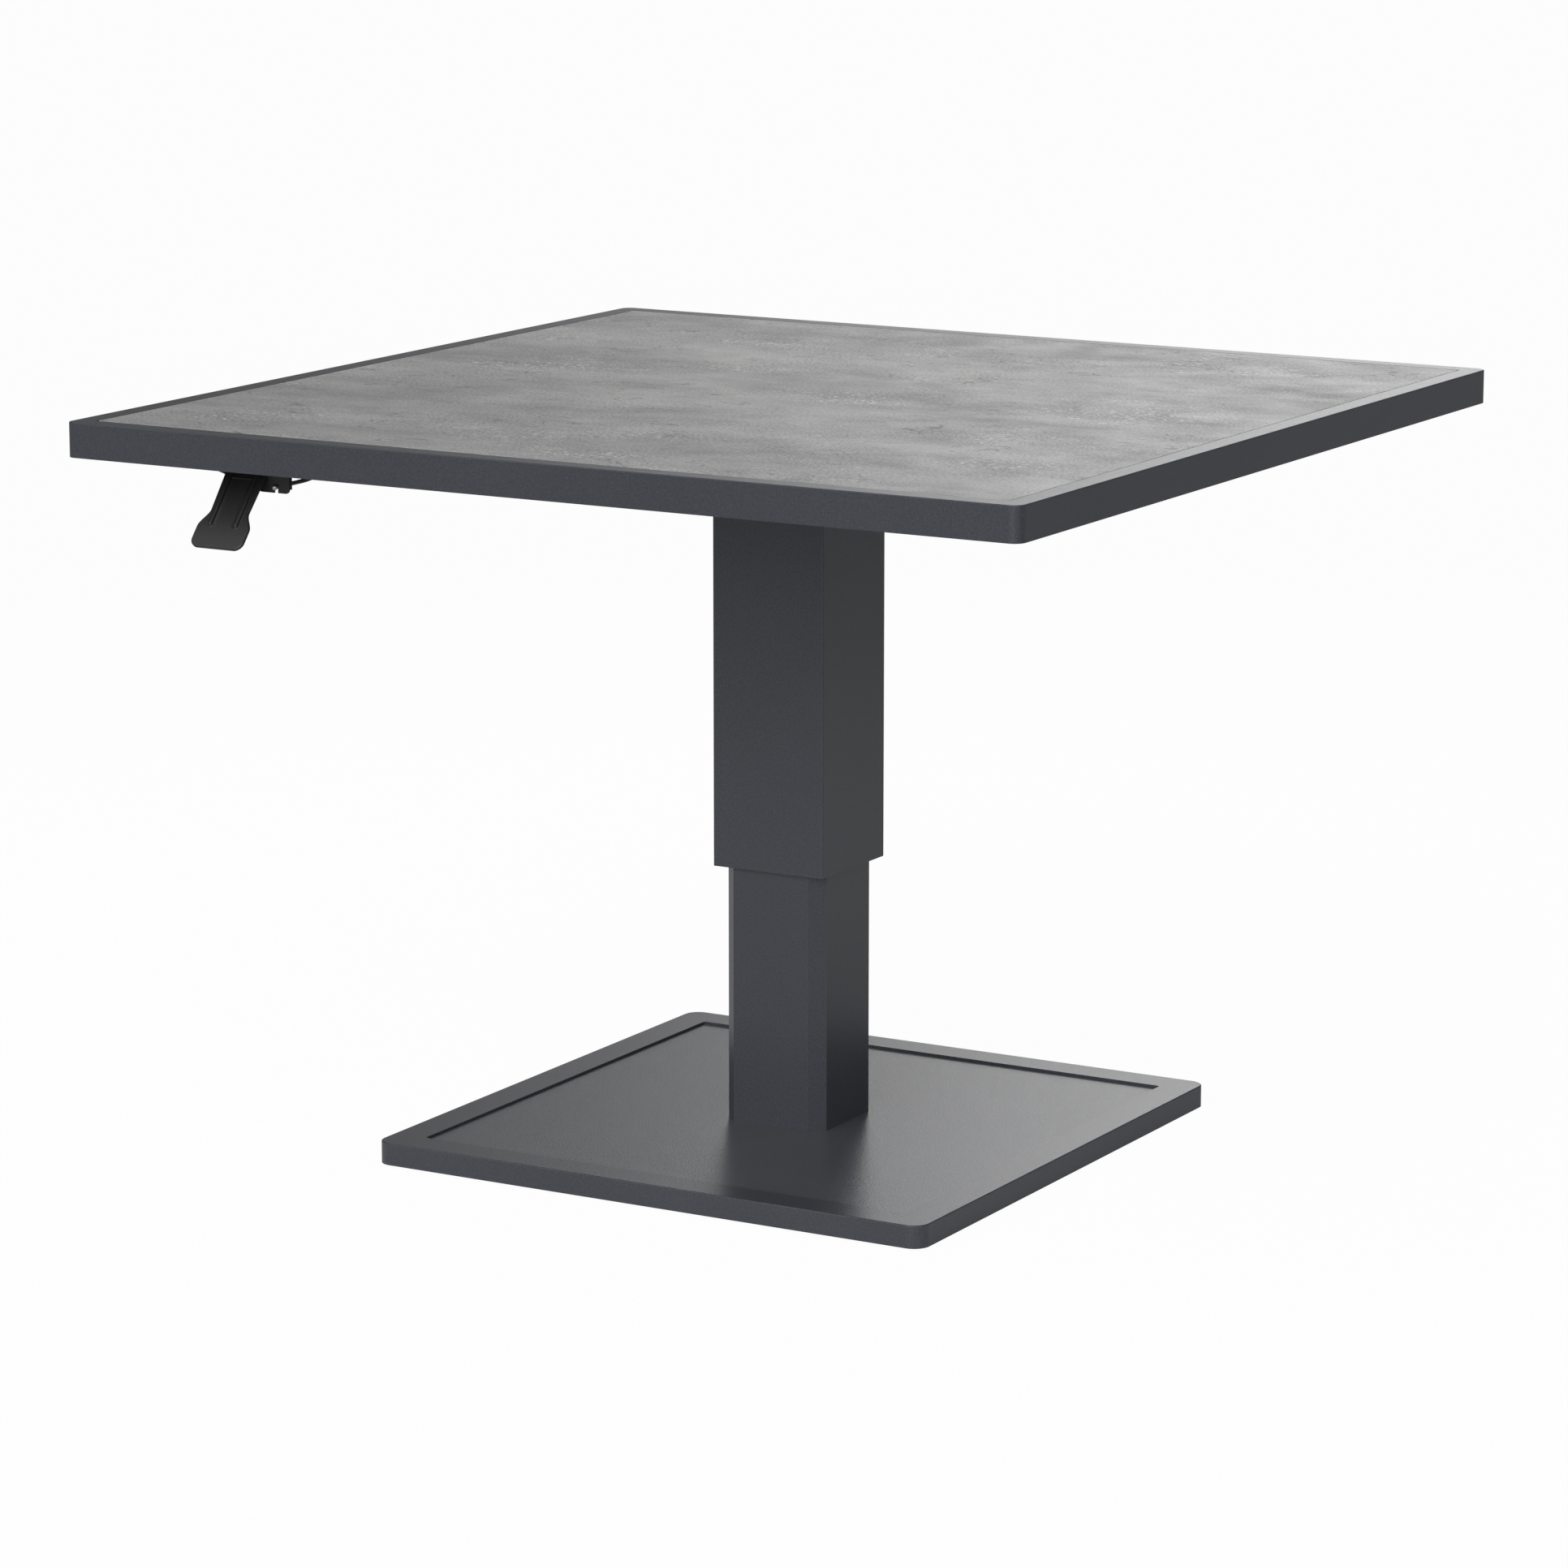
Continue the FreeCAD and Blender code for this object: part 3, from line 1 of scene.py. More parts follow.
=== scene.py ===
import json
import math
import bmesh
import bpy
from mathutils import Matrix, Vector


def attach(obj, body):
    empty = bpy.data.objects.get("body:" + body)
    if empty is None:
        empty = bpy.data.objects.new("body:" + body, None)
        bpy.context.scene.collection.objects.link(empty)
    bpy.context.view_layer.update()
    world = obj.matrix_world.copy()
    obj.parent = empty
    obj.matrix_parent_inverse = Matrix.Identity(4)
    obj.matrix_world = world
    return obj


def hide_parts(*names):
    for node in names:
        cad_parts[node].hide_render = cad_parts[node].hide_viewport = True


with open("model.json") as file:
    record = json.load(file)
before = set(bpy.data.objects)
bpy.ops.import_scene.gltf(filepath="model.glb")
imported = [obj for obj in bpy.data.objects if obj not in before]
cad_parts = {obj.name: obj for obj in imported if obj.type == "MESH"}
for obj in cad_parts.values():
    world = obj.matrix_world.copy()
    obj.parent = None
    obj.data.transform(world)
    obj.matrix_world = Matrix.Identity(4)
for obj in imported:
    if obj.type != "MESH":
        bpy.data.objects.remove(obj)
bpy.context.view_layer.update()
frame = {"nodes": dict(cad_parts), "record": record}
nodes = frame["nodes"]
mm = 0.001


def linearColour(hexValue):
    channels = [int(hexValue[i:i + 2], 16) / 255 for i in (1, 3, 5)]
    return [c / 12.92 if c <= 0.04045 else ((c + 0.055) / 1.055) ** 2.4 for c in channels] + [1.0]


def perMetre(size):
    # texture scale that gives features of this size in millimetres
    return 1000 / size


def shadeOf(hexValue, share):
    # a colour made lighter or darker by this factor
    return [share * c for c in linearColour(hexValue)[:3]] + [1.0]


def spanTo(fromMin, fromMax, toMin=0, toMax=1):
    # the limits of a Map Range node
    return {"From Min": fromMin, "From Max": fromMax, "To Min": toMin, "To Max": toMax}


noiseSpan = (0.3, 0.7)      # nearly all values of a noise texture lie in here


def addNode(tree, kind, inputs=None, **settings):
    node = tree.nodes.new(kind)
    for name, value in settings.items():
        setattr(node, name, value)
    for socket, value in (inputs or {}).items():
        if isinstance(value, bpy.types.NodeSocket):
            tree.links.new(value, node.inputs[socket])
        else:
            node.inputs[socket].default_value = value
    return node


def addSeen(tree):
    # 1 for rays from the camera, straight or through something clear; the gloss mirrors the lit room instead
    rays = addNode(tree, "ShaderNodeLightPath")
    seen = addNode(tree, "ShaderNodeMath", {
        0: rays.outputs["Is Camera Ray"], 1: rays.outputs["Is Transmission Ray"]}, operation="MAXIMUM")
    return seen.outputs[0]


def startMaterial(name, colour, sockets):
    # fixed values stand on the shader's own sockets, and patterns hang on the object's coordinates
    material = bpy.data.materials.new(name)
    material.use_nodes = True
    tree = material.node_tree
    shader = tree.nodes["Principled BSDF"]
    shader.inputs["Base Color"].default_value = linearColour(colour)
    for socket, value in sockets.items():
        shader.inputs[socket].default_value = value
    place = addNode(tree, "ShaderNodeTexCoord").outputs["Object"]
    return material, tree, shader, place


cameraView = {
    "lens": 131.72,
    "sensor": 36,
    "place": (2.7100, -4.7458, 1.4946),
    "turn": (78.214, 0, 29.881),     # degrees
    "farthest": 100,
}


def addCamera(view):
    camera = bpy.data.cameras.new("camera")
    camera.lens = view["lens"]
    camera.sensor_width = view["sensor"]
    camera.clip_end = view["farthest"]
    holder = bpy.data.objects.new("camera", camera)
    holder.location = view["place"]
    holder.rotation_euler = [math.radians(angle) for angle in view["turn"]]
    bpy.context.scene.collection.objects.link(holder)
    bpy.context.scene.camera = holder


addCamera(cameraView)
bpy.context.scene.view_settings.view_transform = "Standard"
print("camera placed")

# A plain white studio. Each soft box has a heading clockwise from +Y and a height in degrees, a half width at
# full light and one at the end of its soft edge. Those behind the table give the long gloss on flat faces.
studio = {
    "level": 0.17,
    "softBoxes": {
        "ceiling": {"heading": 0, "height": 90, "core": 15, "edge": 45, "strength": 0.12},
        "leftHigh": {"heading": -126, "height": 50, "core": 5, "edge": 25, "strength": 1.6},
        "behindHigh": {"heading": -23.8, "height": 22, "core": 3, "edge": 8, "strength": 2.35},
        "behindMiddle": {"heading": -23.8, "height": 14, "core": 3, "edge": 8, "strength": 2.35},
        "behindLeft": {"heading": -28.8, "height": 22, "core": 3, "edge": 8, "strength": 0.3},
        "behindLow": {"heading": -18.8, "height": 6, "core": 3, "edge": 8, "strength": 1.05},
        "behindEdge": {"heading": -29.5, "height": 8, "core": 2, "edge": 6, "strength": 0.15},
        "front": {"heading": 175.2, "height": 25, "core": 10, "edge": 40, "strength": 3.7},
        "frontRight": {"heading": 130.2, "height": 25, "core": 10, "edge": 40, "strength": 1.3},
        "frontLeft": {"heading": -149.8, "height": 20, "core": 10, "edge": 40, "strength": 0.17},
    },
    # the paper's far colour is painted shade, darker away from the table
    "floorColour": "#eaeaea", "floorPaintedShadeColour": "#b0b0b0",
    "floorPaintedShadeFall": (0.9, 3.6),      # metres from the table
    "floorWhite": 0.97,
    "floorSize": 40,
    "paper": {"Roughness": 0.9, "Specular IOR Level": 0.1},
}


def buildWorld(room):
    world = bpy.data.worlds.new("studio")
    bpy.context.scene.world = world
    world.use_nodes = True
    tree = world.node_tree
    tree.nodes.clear()
    looking = addNode(tree, "ShaderNodeTexCoord").outputs["Generated"]
    light = room["level"]
    for box in room["softBoxes"].values():
        turn, rise = math.radians(box["heading"]), math.radians(box["height"])
        towards = (math.sin(turn) * math.cos(rise), math.cos(turn) * math.cos(rise), math.sin(rise))
        near = addNode(tree, "ShaderNodeVectorMath", {0: looking, 1: towards}, operation="DOT_PRODUCT")
        away = addNode(tree, "ShaderNodeMath", {0: near.outputs["Value"]}, operation="ARCCOSINE")
        core, edge = math.radians(box["core"]), math.radians(box["edge"])
        soft = addNode(tree, "ShaderNodeMapRange", {
            "Value": away.outputs[0], **spanTo(core, edge, box["strength"], 0)},
            interpolation_type="SMOOTHSTEP")
        light = addNode(tree, "ShaderNodeMath", {0: soft.outputs[0], 1: light}, operation="ADD").outputs[0]
    strength = addNode(tree, "ShaderNodeMix", {0: addSeen(tree), 2: light, 3: 1.0})
    lit = addNode(tree, "ShaderNodeBackground", {"Color": (1, 1, 1, 1), "Strength": strength.outputs[0]})
    addNode(tree, "ShaderNodeOutputWorld", {"Surface": lit.outputs[0]})


def buildFloor(room):
    half = room["floorSize"] / 2
    corners = [(-half, -half, 0), (half, -half, 0), (half, half, 0), (-half, half, 0)]
    mesh = bpy.data.meshes.new("floor")
    mesh.from_pydata(corners, [], [(0, 1, 2, 3)])
    floor = bpy.data.objects.new("floor", mesh)
    bpy.context.scene.collection.objects.link(floor)
    material, tree, shader, place = startMaterial("matt studio paper", room["floorColour"], room["paper"])
    # painted shade: the paper's colour darkens away from the table, standing in for light that falls away,
    # which the gloss of the right-hand faces shows
    away = addNode(tree, "ShaderNodeVectorMath", {0: place}, operation="LENGTH")
    fall = addNode(tree, "ShaderNodeMapRange", {
        "Value": away.outputs["Value"], **spanTo(*room["floorPaintedShadeFall"])}, interpolation_type="SMOOTHSTEP")
    tone = addNode(tree, "ShaderNodeMix", {
        0: fall.outputs[0], 6: linearColour(room["floorColour"]), 7: linearColour(room["floorPaintedShadeColour"])},
        data_type="RGBA")
    tree.links.new(tone.outputs[2], shader.inputs["Base Color"])
    # seen directly the paper is nearly white, and keeps a share of the table's shadow
    share = addNode(tree, "ShaderNodeMath", {0: addSeen(tree), 1: room["floorWhite"]}, operation="MULTIPLY")
    white = addNode(tree, "ShaderNodeEmission", {"Color": (1, 1, 1, 1), "Strength": 1.0})
    paper = addNode(tree, "ShaderNodeMixShader", {
        0: share.outputs[0], 1: shader.outputs[0], 2: white.outputs[0]})
    tree.links.new(paper.outputs[0], tree.nodes["Material Output"].inputs["Surface"])
    mesh.materials.append(material)


buildWorld(studio)
buildFloor(studio)
print("studio built")

# Polyester powder coat, sprayed as dry powder and baked on: matt, faintly pebbled, with a soft edge to its
# gloss. Its pebbles are about 0.4 mm across, and drawn at 1.4 to 1.9 mm so that they show. On the panel,
# which is only seen at a low angle, they are drawn deeper too. Sizes are in mm.
frameCoat = {
    "colour": "#313339", "grainColour": "#3d3f46",
    "roughness": 0.30, "glossSpread": (-0.02, 0.06),
    "grain": 1.9, "pebble": 0.2, "bump": 0.5,
    "cloud": 160, "cloudShift": 0.05,
}
# painted light: the panel's coat is the frame's coat made lighter, to make up for the shade that the table
# top casts on it
panelCoatPaintedLighter = {**frameCoat, "colour": "#404247", "grainColour": "#505257", "grain": 1.7, "pebble": 0.35}
railCoat = {**frameCoat, "colour": "#38393d", "grainColour": "#404146", "roughness": 0.5}
blackCoat = {**frameCoat, "colour": "#18181a", "grainColour": "#1f1f21", "roughness": 0.45, "grain": 1.4,
             "pebble": 0.07}


def powderCoat(name, coat):
    material, tree, shader, place = startMaterial(name, coat["colour"], {"IOR": 1.5})
    grain = addNode(tree, "ShaderNodeTexNoise", {
        "Vector": place, "Scale": perMetre(coat["grain"]), "Detail": 2.0, "Roughness": 0.55}).outputs[0]
    cloud = addNode(tree, "ShaderNodeTexNoise", {
        "Vector": place, "Scale": perMetre(coat["cloud"]), "Detail": 3.0}).outputs[0]
    fleck = addNode(tree, "ShaderNodeMapRange", {"Value": grain, **spanTo(*noiseSpan)})
    tone = addNode(tree, "ShaderNodeMix", {
        0: fleck.outputs[0], 6: linearColour(coat["colour"]), 7: linearColour(coat["grainColour"])},
        data_type="RGBA")
    shift = addNode(tree, "ShaderNodeMapRange", {
        "Value": cloud, **spanTo(*noiseSpan, 1 - coat["cloudShift"], 1 + coat["cloudShift"])})
    shaded = addNode(tree, "ShaderNodeVectorMath", {0: tone.outputs[2], "Scale": shift.outputs[0]},
                     operation="SCALE")
    tree.links.new(shaded.outputs[0], shader.inputs["Base Color"])
    glossy = [coat["roughness"] + spread for spread in coat["glossSpread"]]
    gloss = addNode(tree, "ShaderNodeMapRange", {"Value": grain, **spanTo(*noiseSpan, *glossy)})
    tree.links.new(gloss.outputs[0], shader.inputs["Roughness"])
    pebble = addNode(tree, "ShaderNodeBump", {
        "Height": grain, "Strength": coat["bump"], "Distance": coat["pebble"] * mm})
    tree.links.new(pebble.outputs[0], shader.inputs["Normal"])
    return material


# Compact laminate pressed with a printed sheet of trowelled concrete: soft clouds and mottling, drawn out
# along X by the trowel, a gritty grain, light flecks in patches and a few dark hairlines, under a matt film.
# Sizes are in mm. The real grain is 1 to 2 mm, and it is drawn at about 3 and 12 mm so that it shows at this
# low angle.
laminate = {
    "dark": "#7b7c7c", "light": "#b6b6b5", "fleck": "#d2d2d0", "hairline": "#4f5050",
    "roughness": (0.50, 0.40),                            # at a mottle's low and high values
    "trowelled": (0.65, 1, 1),
    "clouds": 150, "cloudShare": 1.5,
    "mottles": 46, "mottleShare": 0.9,
    "grit": 12, "gritShare": 0.45,
    "grain": 3.2, "grainShare": 2.3, "grainBump": 0.4, "filmDepth": 0.02,
    "gritty": 85, "lively": (0.38, 0.68, 0.65, 1.9),      # from these noise values to these shares of grain
    "flecks": 5, "fleckSpan": (0.58, 0.66), "fleckPatch": (0.55, 0.68),
    "hairlines": 26, "hairlineWide": 0.022, "hairlineDark": 0.9,
    "hairlinePatches": 42, "hairlineSpan": (0.60, 0.65),
}


def concreteLaminate(name, board):
    material, tree, shader, place = startMaterial(name, board["dark"], {"IOR": 1.5})
    drawn = addNode(tree, "ShaderNodeMapping", {"Vector": place, "Scale": board["trowelled"]}).outputs[0]
    clouds = addNode(tree, "ShaderNodeTexNoise", {
        "Vector": drawn, "Scale": perMetre(board["clouds"]), "Detail": 3.0, "Distortion": 0.3}).outputs[0]
    mottles = addNode(tree, "ShaderNodeTexNoise", {
        "Vector": drawn, "Scale": perMetre(board["mottles"]), "Detail": 5.0, "Roughness": 0.6}).outputs[0]
    grit = addNode(tree, "ShaderNodeTexNoise", {
        "Vector": drawn, "Scale": perMetre(board["grit"]), "Detail": 2.0, "Roughness": 0.7}).outputs[0]
    grain = addNode(tree, "ShaderNodeTexNoise", {
        "Vector": place, "Scale": perMetre(board["grain"]), "Detail": 1.5, "Roughness": 0.7}).outputs[0]
    # the sheet is gritty in patches, which hold the stronger grain and the flecks
    gritty = addNode(tree, "ShaderNodeTexNoise", {
        "Vector": drawn, "Scale": perMetre(board["gritty"]), "Detail": 3.0}).outputs[0]
    lively = addNode(tree, "ShaderNodeMapRange", {"Value": gritty, **spanTo(*board["lively"])}).outputs[0]
    centred = addNode(tree, "ShaderNodeMath", {0: grain, 1: 0.5}, operation="SUBTRACT").outputs[0]
    uneven = addNode(tree, "ShaderNodeMath", {0: centred, 1: lively}, operation="MULTIPLY").outputs[0]
    tone = addNode(tree, "ShaderNodeMath", {0: uneven, 1: board["grainShare"], 2: 0.5},
                   operation="MULTIPLY_ADD").outputs[0]
    layers = ((clouds, board["cloudShare"]), (mottles, board["mottleShare"]), (grit, board["gritShare"]))
    for layer, share in layers:
        level = addNode(tree, "ShaderNodeMath", {0: layer, 1: 0.5}, operation="SUBTRACT").outputs[0]
        tone = addNode(tree, "ShaderNodeMath", {0: level, 1: share, 2: tone},
                       operation="MULTIPLY_ADD").outputs[0]
    printed = addNode(tree, "ShaderNodeMix", {
        0: tone, 6: linearColour(board["dark"]), 7: linearColour(board["light"])}, data_type="RGBA")
    flecks = addNode(tree, "ShaderNodeTexNoise", {
        "Vector": drawn, "Scale": perMetre(board["flecks"]), "Detail": 2.0}).outputs[0]
    fleck = addNode(tree, "ShaderNodeMapRange", {"Value": flecks, **spanTo(*board["fleckSpan"])}).outputs[0]
    patch = addNode(tree, "ShaderNodeMapRange", {"Value": gritty, **spanTo(*board["fleckPatch"])}).outputs[0]
    flecked = addNode(tree, "ShaderNodeMath", {0: fleck, 1: patch}, operation="MULTIPLY")
    flecky = addNode(tree, "ShaderNodeMix", {
        0: flecked.outputs[0], 6: printed.outputs[2], 7: linearColour(board["fleck"])}, data_type="RGBA")
    # a hairline runs where a second noise crosses its middle value, inside patches of its own
    hairs = addNode(tree, "ShaderNodeTexNoise", {
        "Vector": drawn, "Scale": perMetre(board["hairlines"]), "Detail": 3.0}).outputs[0]
    off = addNode(tree, "ShaderNodeMath", {0: hairs, 1: 0.5}, operation="SUBTRACT").outputs[0]
    across = addNode(tree, "ShaderNodeMath", {0: off}, operation="ABSOLUTE").outputs[0]
    hair = addNode(tree, "ShaderNodeMapRange", {
        "Value": across, **spanTo(0, board["hairlineWide"], board["hairlineDark"], 0)}).outputs[0]
    spots = addNode(tree, "ShaderNodeTexNoise", {
        "Vector": place, "Scale": perMetre(board["hairlinePatches"]), "Detail": 1.0}).outputs[0]
    spot = addNode(tree, "ShaderNodeMapRange", {"Value": spots, **spanTo(*board["hairlineSpan"])}).outputs[0]
    cracked = addNode(tree, "ShaderNodeMath", {0: hair, 1: spot}, operation="MULTIPLY")
    colour = addNode(tree, "ShaderNodeMix", {
        0: cracked.outputs[0], 6: flecky.outputs[2], 7: linearColour(board["hairline"])}, data_type="RGBA")
    tree.links.new(colour.outputs[2], shader.inputs["Base Color"])
    gloss = addNode(tree, "ShaderNodeMapRange", {
        "Value": mottles, **spanTo(*noiseSpan, *board["roughness"])})
    tree.links.new(gloss.outputs[0], shader.inputs["Roughness"])
    film = addNode(tree, "ShaderNodeBump", {
        "Height": grain, "Strength": board["grainBump"], "Distance": board["filmDepth"] * mm})
    tree.links.new(film.outputs[0], shader.inputs["Normal"])
    return material


# Plated and ground metals: the colour of the bare metal, blotched or brushed mostly in its gloss. Sizes are
# in mm.
zincPlate = {"colour": "#b4b7bb", "shade": 0.86, "roughness": (0.26, 0.42), "blotch": 7, "stretch": (1, 1, 1)}
groundSteel = {**zincPlate, "colour": "#d6d6d8", "roughness": (0.10, 0.24), "blotch": 0.8,
               "stretch": (1, 1, 0.08)}


def bareMetal(name, metal):
    material, tree, shader, place = startMaterial(name, metal["colour"], {"Metallic": 1.0})
    along = addNode(tree, "ShaderNodeMapping", {"Vector": place, "Scale": metal["stretch"]}).outputs[0]
    blotch = addNode(tree, "ShaderNodeTexNoise", {
        "Vector": along, "Scale": perMetre(metal["blotch"]), "Detail": 4.0}).outputs[0]
    gloss = addNode(tree, "ShaderNodeMapRange", {
        "Value": blotch, **spanTo(*noiseSpan, *metal["roughness"])})
    tree.links.new(gloss.outputs[0], shader.inputs["Roughness"])
    tone = addNode(tree, "ShaderNodeMix", {
        0: blotch, 6: shadeOf(metal["colour"], metal["shade"]), 7: linearColour(metal["colour"])},
        data_type="RGBA")
    tree.links.new(tone.outputs[2], shader.inputs["Base Color"])
    return material


# Moulded polymers: the spark-eroded tool leaves a fine matt grain, deepest on the nylon paddle. The grain's
# size and depth are in mm.
nylon = {"colour": "#1e1e20", "toneSpread": 0.2, "roughness": 0.44, "glossSpread": 0.05, "specular": 0.5,
         "grain": 0.8, "depth": 0.04, "bump": 0.4}
acetal = {**nylon, "colour": "#121213", "roughness": 0.36, "grain": 1.2, "depth": 0.01}
vinylJacket = {**nylon, "colour": "#1b1b1c", "roughness": 0.50, "grain": 0.6, "depth": 0.01}
rubber = {**nylon, "colour": "#131313", "roughness": 0.82, "specular": 0.3, "grain": 1.0, "depth": 0.03}
springEnamel = {**nylon, "colour": "#0e0e10", "roughness": 0.22, "grain": 2.5, "depth": 0.005}


def moulded(name, plastic):
    material, tree, shader, place = startMaterial(name, plastic["colour"], {
        "IOR": 1.5, "Specular IOR Level": plastic["specular"]})
    grain = addNode(tree, "ShaderNodeTexNoise", {
        "Vector": place, "Scale": perMetre(plastic["grain"]), "Detail": 3.0}).outputs[0]
    tone = addNode(tree, "ShaderNodeMix", {
        0: grain, 6: shadeOf(plastic["colour"], 1 - plastic["toneSpread"]),
        7: shadeOf(plastic["colour"], 1 + plastic["toneSpread"])}, data_type="RGBA")
    tree.links.new(tone.outputs[2], shader.inputs["Base Color"])
    glossy = [plastic["roughness"] + way * plastic["glossSpread"] for way in (-1, 1)]
    gloss = addNode(tree, "ShaderNodeMapRange", {"Value": grain, **spanTo(*noiseSpan, *glossy)})
    tree.links.new(gloss.outputs[0], shader.inputs["Roughness"])
    texture = addNode(tree, "ShaderNodeBump", {
        "Height": grain, "Strength": plastic["bump"], "Distance": plastic["depth"] * mm})
    tree.links.new(texture.outputs[0], shader.inputs["Normal"])
    return material


finishes = {
    "frame_coat": powderCoat("anthracite powder coat", frameCoat),
    "base_coat": powderCoat("anthracite powder coat on the sunk panel", panelCoatPaintedLighter),
    "slab_laminate": concreteLaminate("concrete-print compact laminate", laminate),
    "rail_aluminium": powderCoat("anthracite powder coat on aluminium", railCoat),
    "black_steel": powderCoat("black powder coat on sheet steel", blackCoat),
    "zinc_steel": bareMetal("zinc-plated steel", zincPlate),
    "spring_black": moulded("black stove enamel", springEnamel),
    "bright_steel": bareMetal("ground and polished steel", groundSteel),
    "guide_plastic": moulded("moulded acetal", acetal),
    "paddle_plastic": moulded("moulded glass-filled nylon", nylon),
    "cable_plastic": moulded("extruded vinyl jacket", vinylJacket),
    "black_rubber": moulded("moulded rubber", rubber),
}
slotOf = {part["node"]: part["material_slot"] for part in frame["record"]["subparts"]}
for node, thing in nodes.items():
    thing.data.materials.clear()
    thing.data.materials.append(finishes[slotOf[node]])
print("finishes made")


def addPiece(name, vertices, faces, body, *replaced, slot=None, sharp=35):
    # a mesh in metres that rides on a body, and stands for the nodes it replaces
    mesh = bpy.data.meshes.new(name)
    mesh.from_pydata(vertices, [], faces)
    work = bmesh.new()
    work.from_mesh(mesh)
    bmesh.ops.recalc_face_normals(work, faces=work.faces)
    work.to_mesh(mesh)
    work.free()
    mesh.shade_smooth()
    mesh.set_sharp_from_angle(angle=math.radians(sharp))
    slot = slot or slotOf[replaced[0]]
    mesh.materials.append(finishes[slot])
    piece = bpy.data.objects.new(name, mesh)
    bpy.context.scene.collection.objects.link(piece)
    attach(piece, body)
    if replaced:
        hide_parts(*replaced)
    return piece


def solidsOf(node):
    # lowest and highest corner of each separate solid in a CAD node
    work = bmesh.new()
    work.from_mesh(nodes[node].data)
    bmesh.ops.remove_doubles(work, verts=work.verts, dist=1e-6)
    work.verts.ensure_lookup_table()
    work.verts.index_update()
    reached = set()
    boxes = []
    for seed in work.verts:
        if seed.index in reached:
            continue
        reached.add(seed.index)
        waiting = [seed]
        points = []
        while waiting:
            vertex = waiting.pop()
            points.append(vertex.co.copy())
            for edge in vertex.link_edges:
                other = edge.other_vert(vertex)
                if other.index not in reached:
                    reached.add(other.index)
                    waiting.append(other)
        boxes.append((Vector(map(min, zip(*points))), Vector(map(max, zip(*points)))))
    work.free()
    return boxes


def hexRadius(flats, turn):
    # how far a hexagon with this half width across flats reaches at an angle
    return flats / math.cos((turn + math.pi / 6) % (math.pi / 3) - math.pi / 6)


def turned(places, rings, axis=(0, 0, 1), segments=48):
    # solids of revolution: each ring is radius and level in mm, measured from a place along the axis, and a
    # ring marked hex is a socket's edge; the first and last rings close on a point
    swing = Vector((0, 0, 1)).rotation_difference(Vector(axis))
    vertices, faces = [], []
    for place in places:
        rows = []
        for ring in rings:
            radius, level = ring[:2]
            row = []
            for step in range(1 if radius == 0 else segments):
                turn = 2 * math.pi * step / segments
                reach = hexRadius(radius, turn) if ring[2:] == ("hex",) else radius
                spot = Vector((reach * math.cos(turn), reach * math.sin(turn), level)) * mm
                row.append(len(vertices))
                vertices.append(Vector(place) + swing @ spot)
            rows.append(row)
        for low, high in zip(rows, rows[1:]):
            for step in range(segments):
                after = (step + 1) % segments
                corners = [low[step % len(low)], low[after % len(low)],
                           high[after % len(high)], high[step % len(high)]]
                faces.append(tuple(dict.fromkeys(corners)))
    return vertices, faces


panHead = {
    "dome": ((0.45, 0.97), (0.75, 0.88), (0.92, 0.72), (1.0, 0.45)),    # share of the height, of the radius
    "socket": 0.42,              # half width across flats, as a share of the head's radius
    "socketDeep": 0.6,           # as a share of the head's height
    "socketBevel": (0.25, 0.2),
    "socketCone": 0.3,
    "tip": 0.6, "tipShare": 0.8,
}
panScrews = {    # radii of shank and head, and height of the head, in mm
    "plateScrews": {"node": "head_plate_screws", "body": "lift", "shank": 3, "head": 5.5, "high": 3.5},
    "bracketScrews": {"node": "bracket_screws", "body": "lift", "shank": 2.5, "head": 4.2, "high": 3},
    "yokeScrews": {"node": "yoke_screws", "body": "lift", "shank": 2.5, "head": 4.5, "high": 3},
    "clipScrewsOnCable": {"node": "cable_clip_screws", "body": "lift", "shank": 2, "head": 3.6, "high": 2},
    "baseBolts": {"node": "base_bolts", "body": "base", "shank": 5, "head": 8, "high": 6.5},
}


def panRings(form, screw, reach):
    # from the shank's tip down to the head, whose bearing face is level 0
    shank, head, high = screw["shank"], screw["head"], screw["high"]
    rings = [(0, reach), (shank * form["tipShare"], reach), (shank, reach - form["tip"]), (shank, 0),
             (head, 0)]
    rings += [(head * radius, -high * share) for share, radius in form["dome"]]
    flats = head * form["socket"]
    bottom = -high * (1 - form["socketDeep"])
    outward, down = form["socketBevel"]
    rings += [(flats + outward, -high), (flats, -high + down, "hex"), (flats, bottom, "hex"),
              (0, bottom + form["socketCone"])]
    return rings


def addPanScrews(name, screw):
    boxes = solidsOf(screw["node"])
    places = [((low.x + top.x) / 2, (low.y + top.y) / 2, low.z + screw["high"] * mm) for low, top in boxes]
    reach = (boxes[0][1].z - boxes[0][0].z) / mm - screw["high"]
    vertices, faces = turned(places, panRings(panHead, screw, reach))
    addPiece(name, vertices, faces, screw["body"], screw["node"])


for name, screw in panScrews.items():
    addPanScrews(name, screw)

countersunk = {
    "shank": 2, "reach": 9, "tip": 0.5, "tipShare": 0.8,
    "head": 4, "coneHigh": 2, "rim": 0.1,
    "socket": 1.3, "socketDeep": 1.2, "socketBevel": (0.25, 0.15), "socketCone": 0.2,
}


def addCountersunkScrews(screw):
    places = [((low.x + top.x) / 2, (low.y + top.y) / 2, low.z) for low, top in solidsOf("clip_screws")]
    shank, head, reach, rim = screw["shank"], screw["head"], screw["reach"], screw["rim"]
    flats, deep = screw["socket"], screw["socketDeep"]
    outward, down = screw["socketBevel"]
    rings = [(0, reach), (shank * screw["tipShare"], reach), (shank, reach - screw["tip"]),
             (shank, screw["coneHigh"]), (head, rim), (head - rim, 0), (flats + outward, 0),
             (flats, down, "hex"), (flats, deep, "hex"), (0, deep + screw["socketCone"])]
    vertices, faces = turned(places, rings, segments=36)
    addPiece("ballastClipScrews", vertices, faces, "base", "clip_screws")


addCountersunkScrews(countersunk)

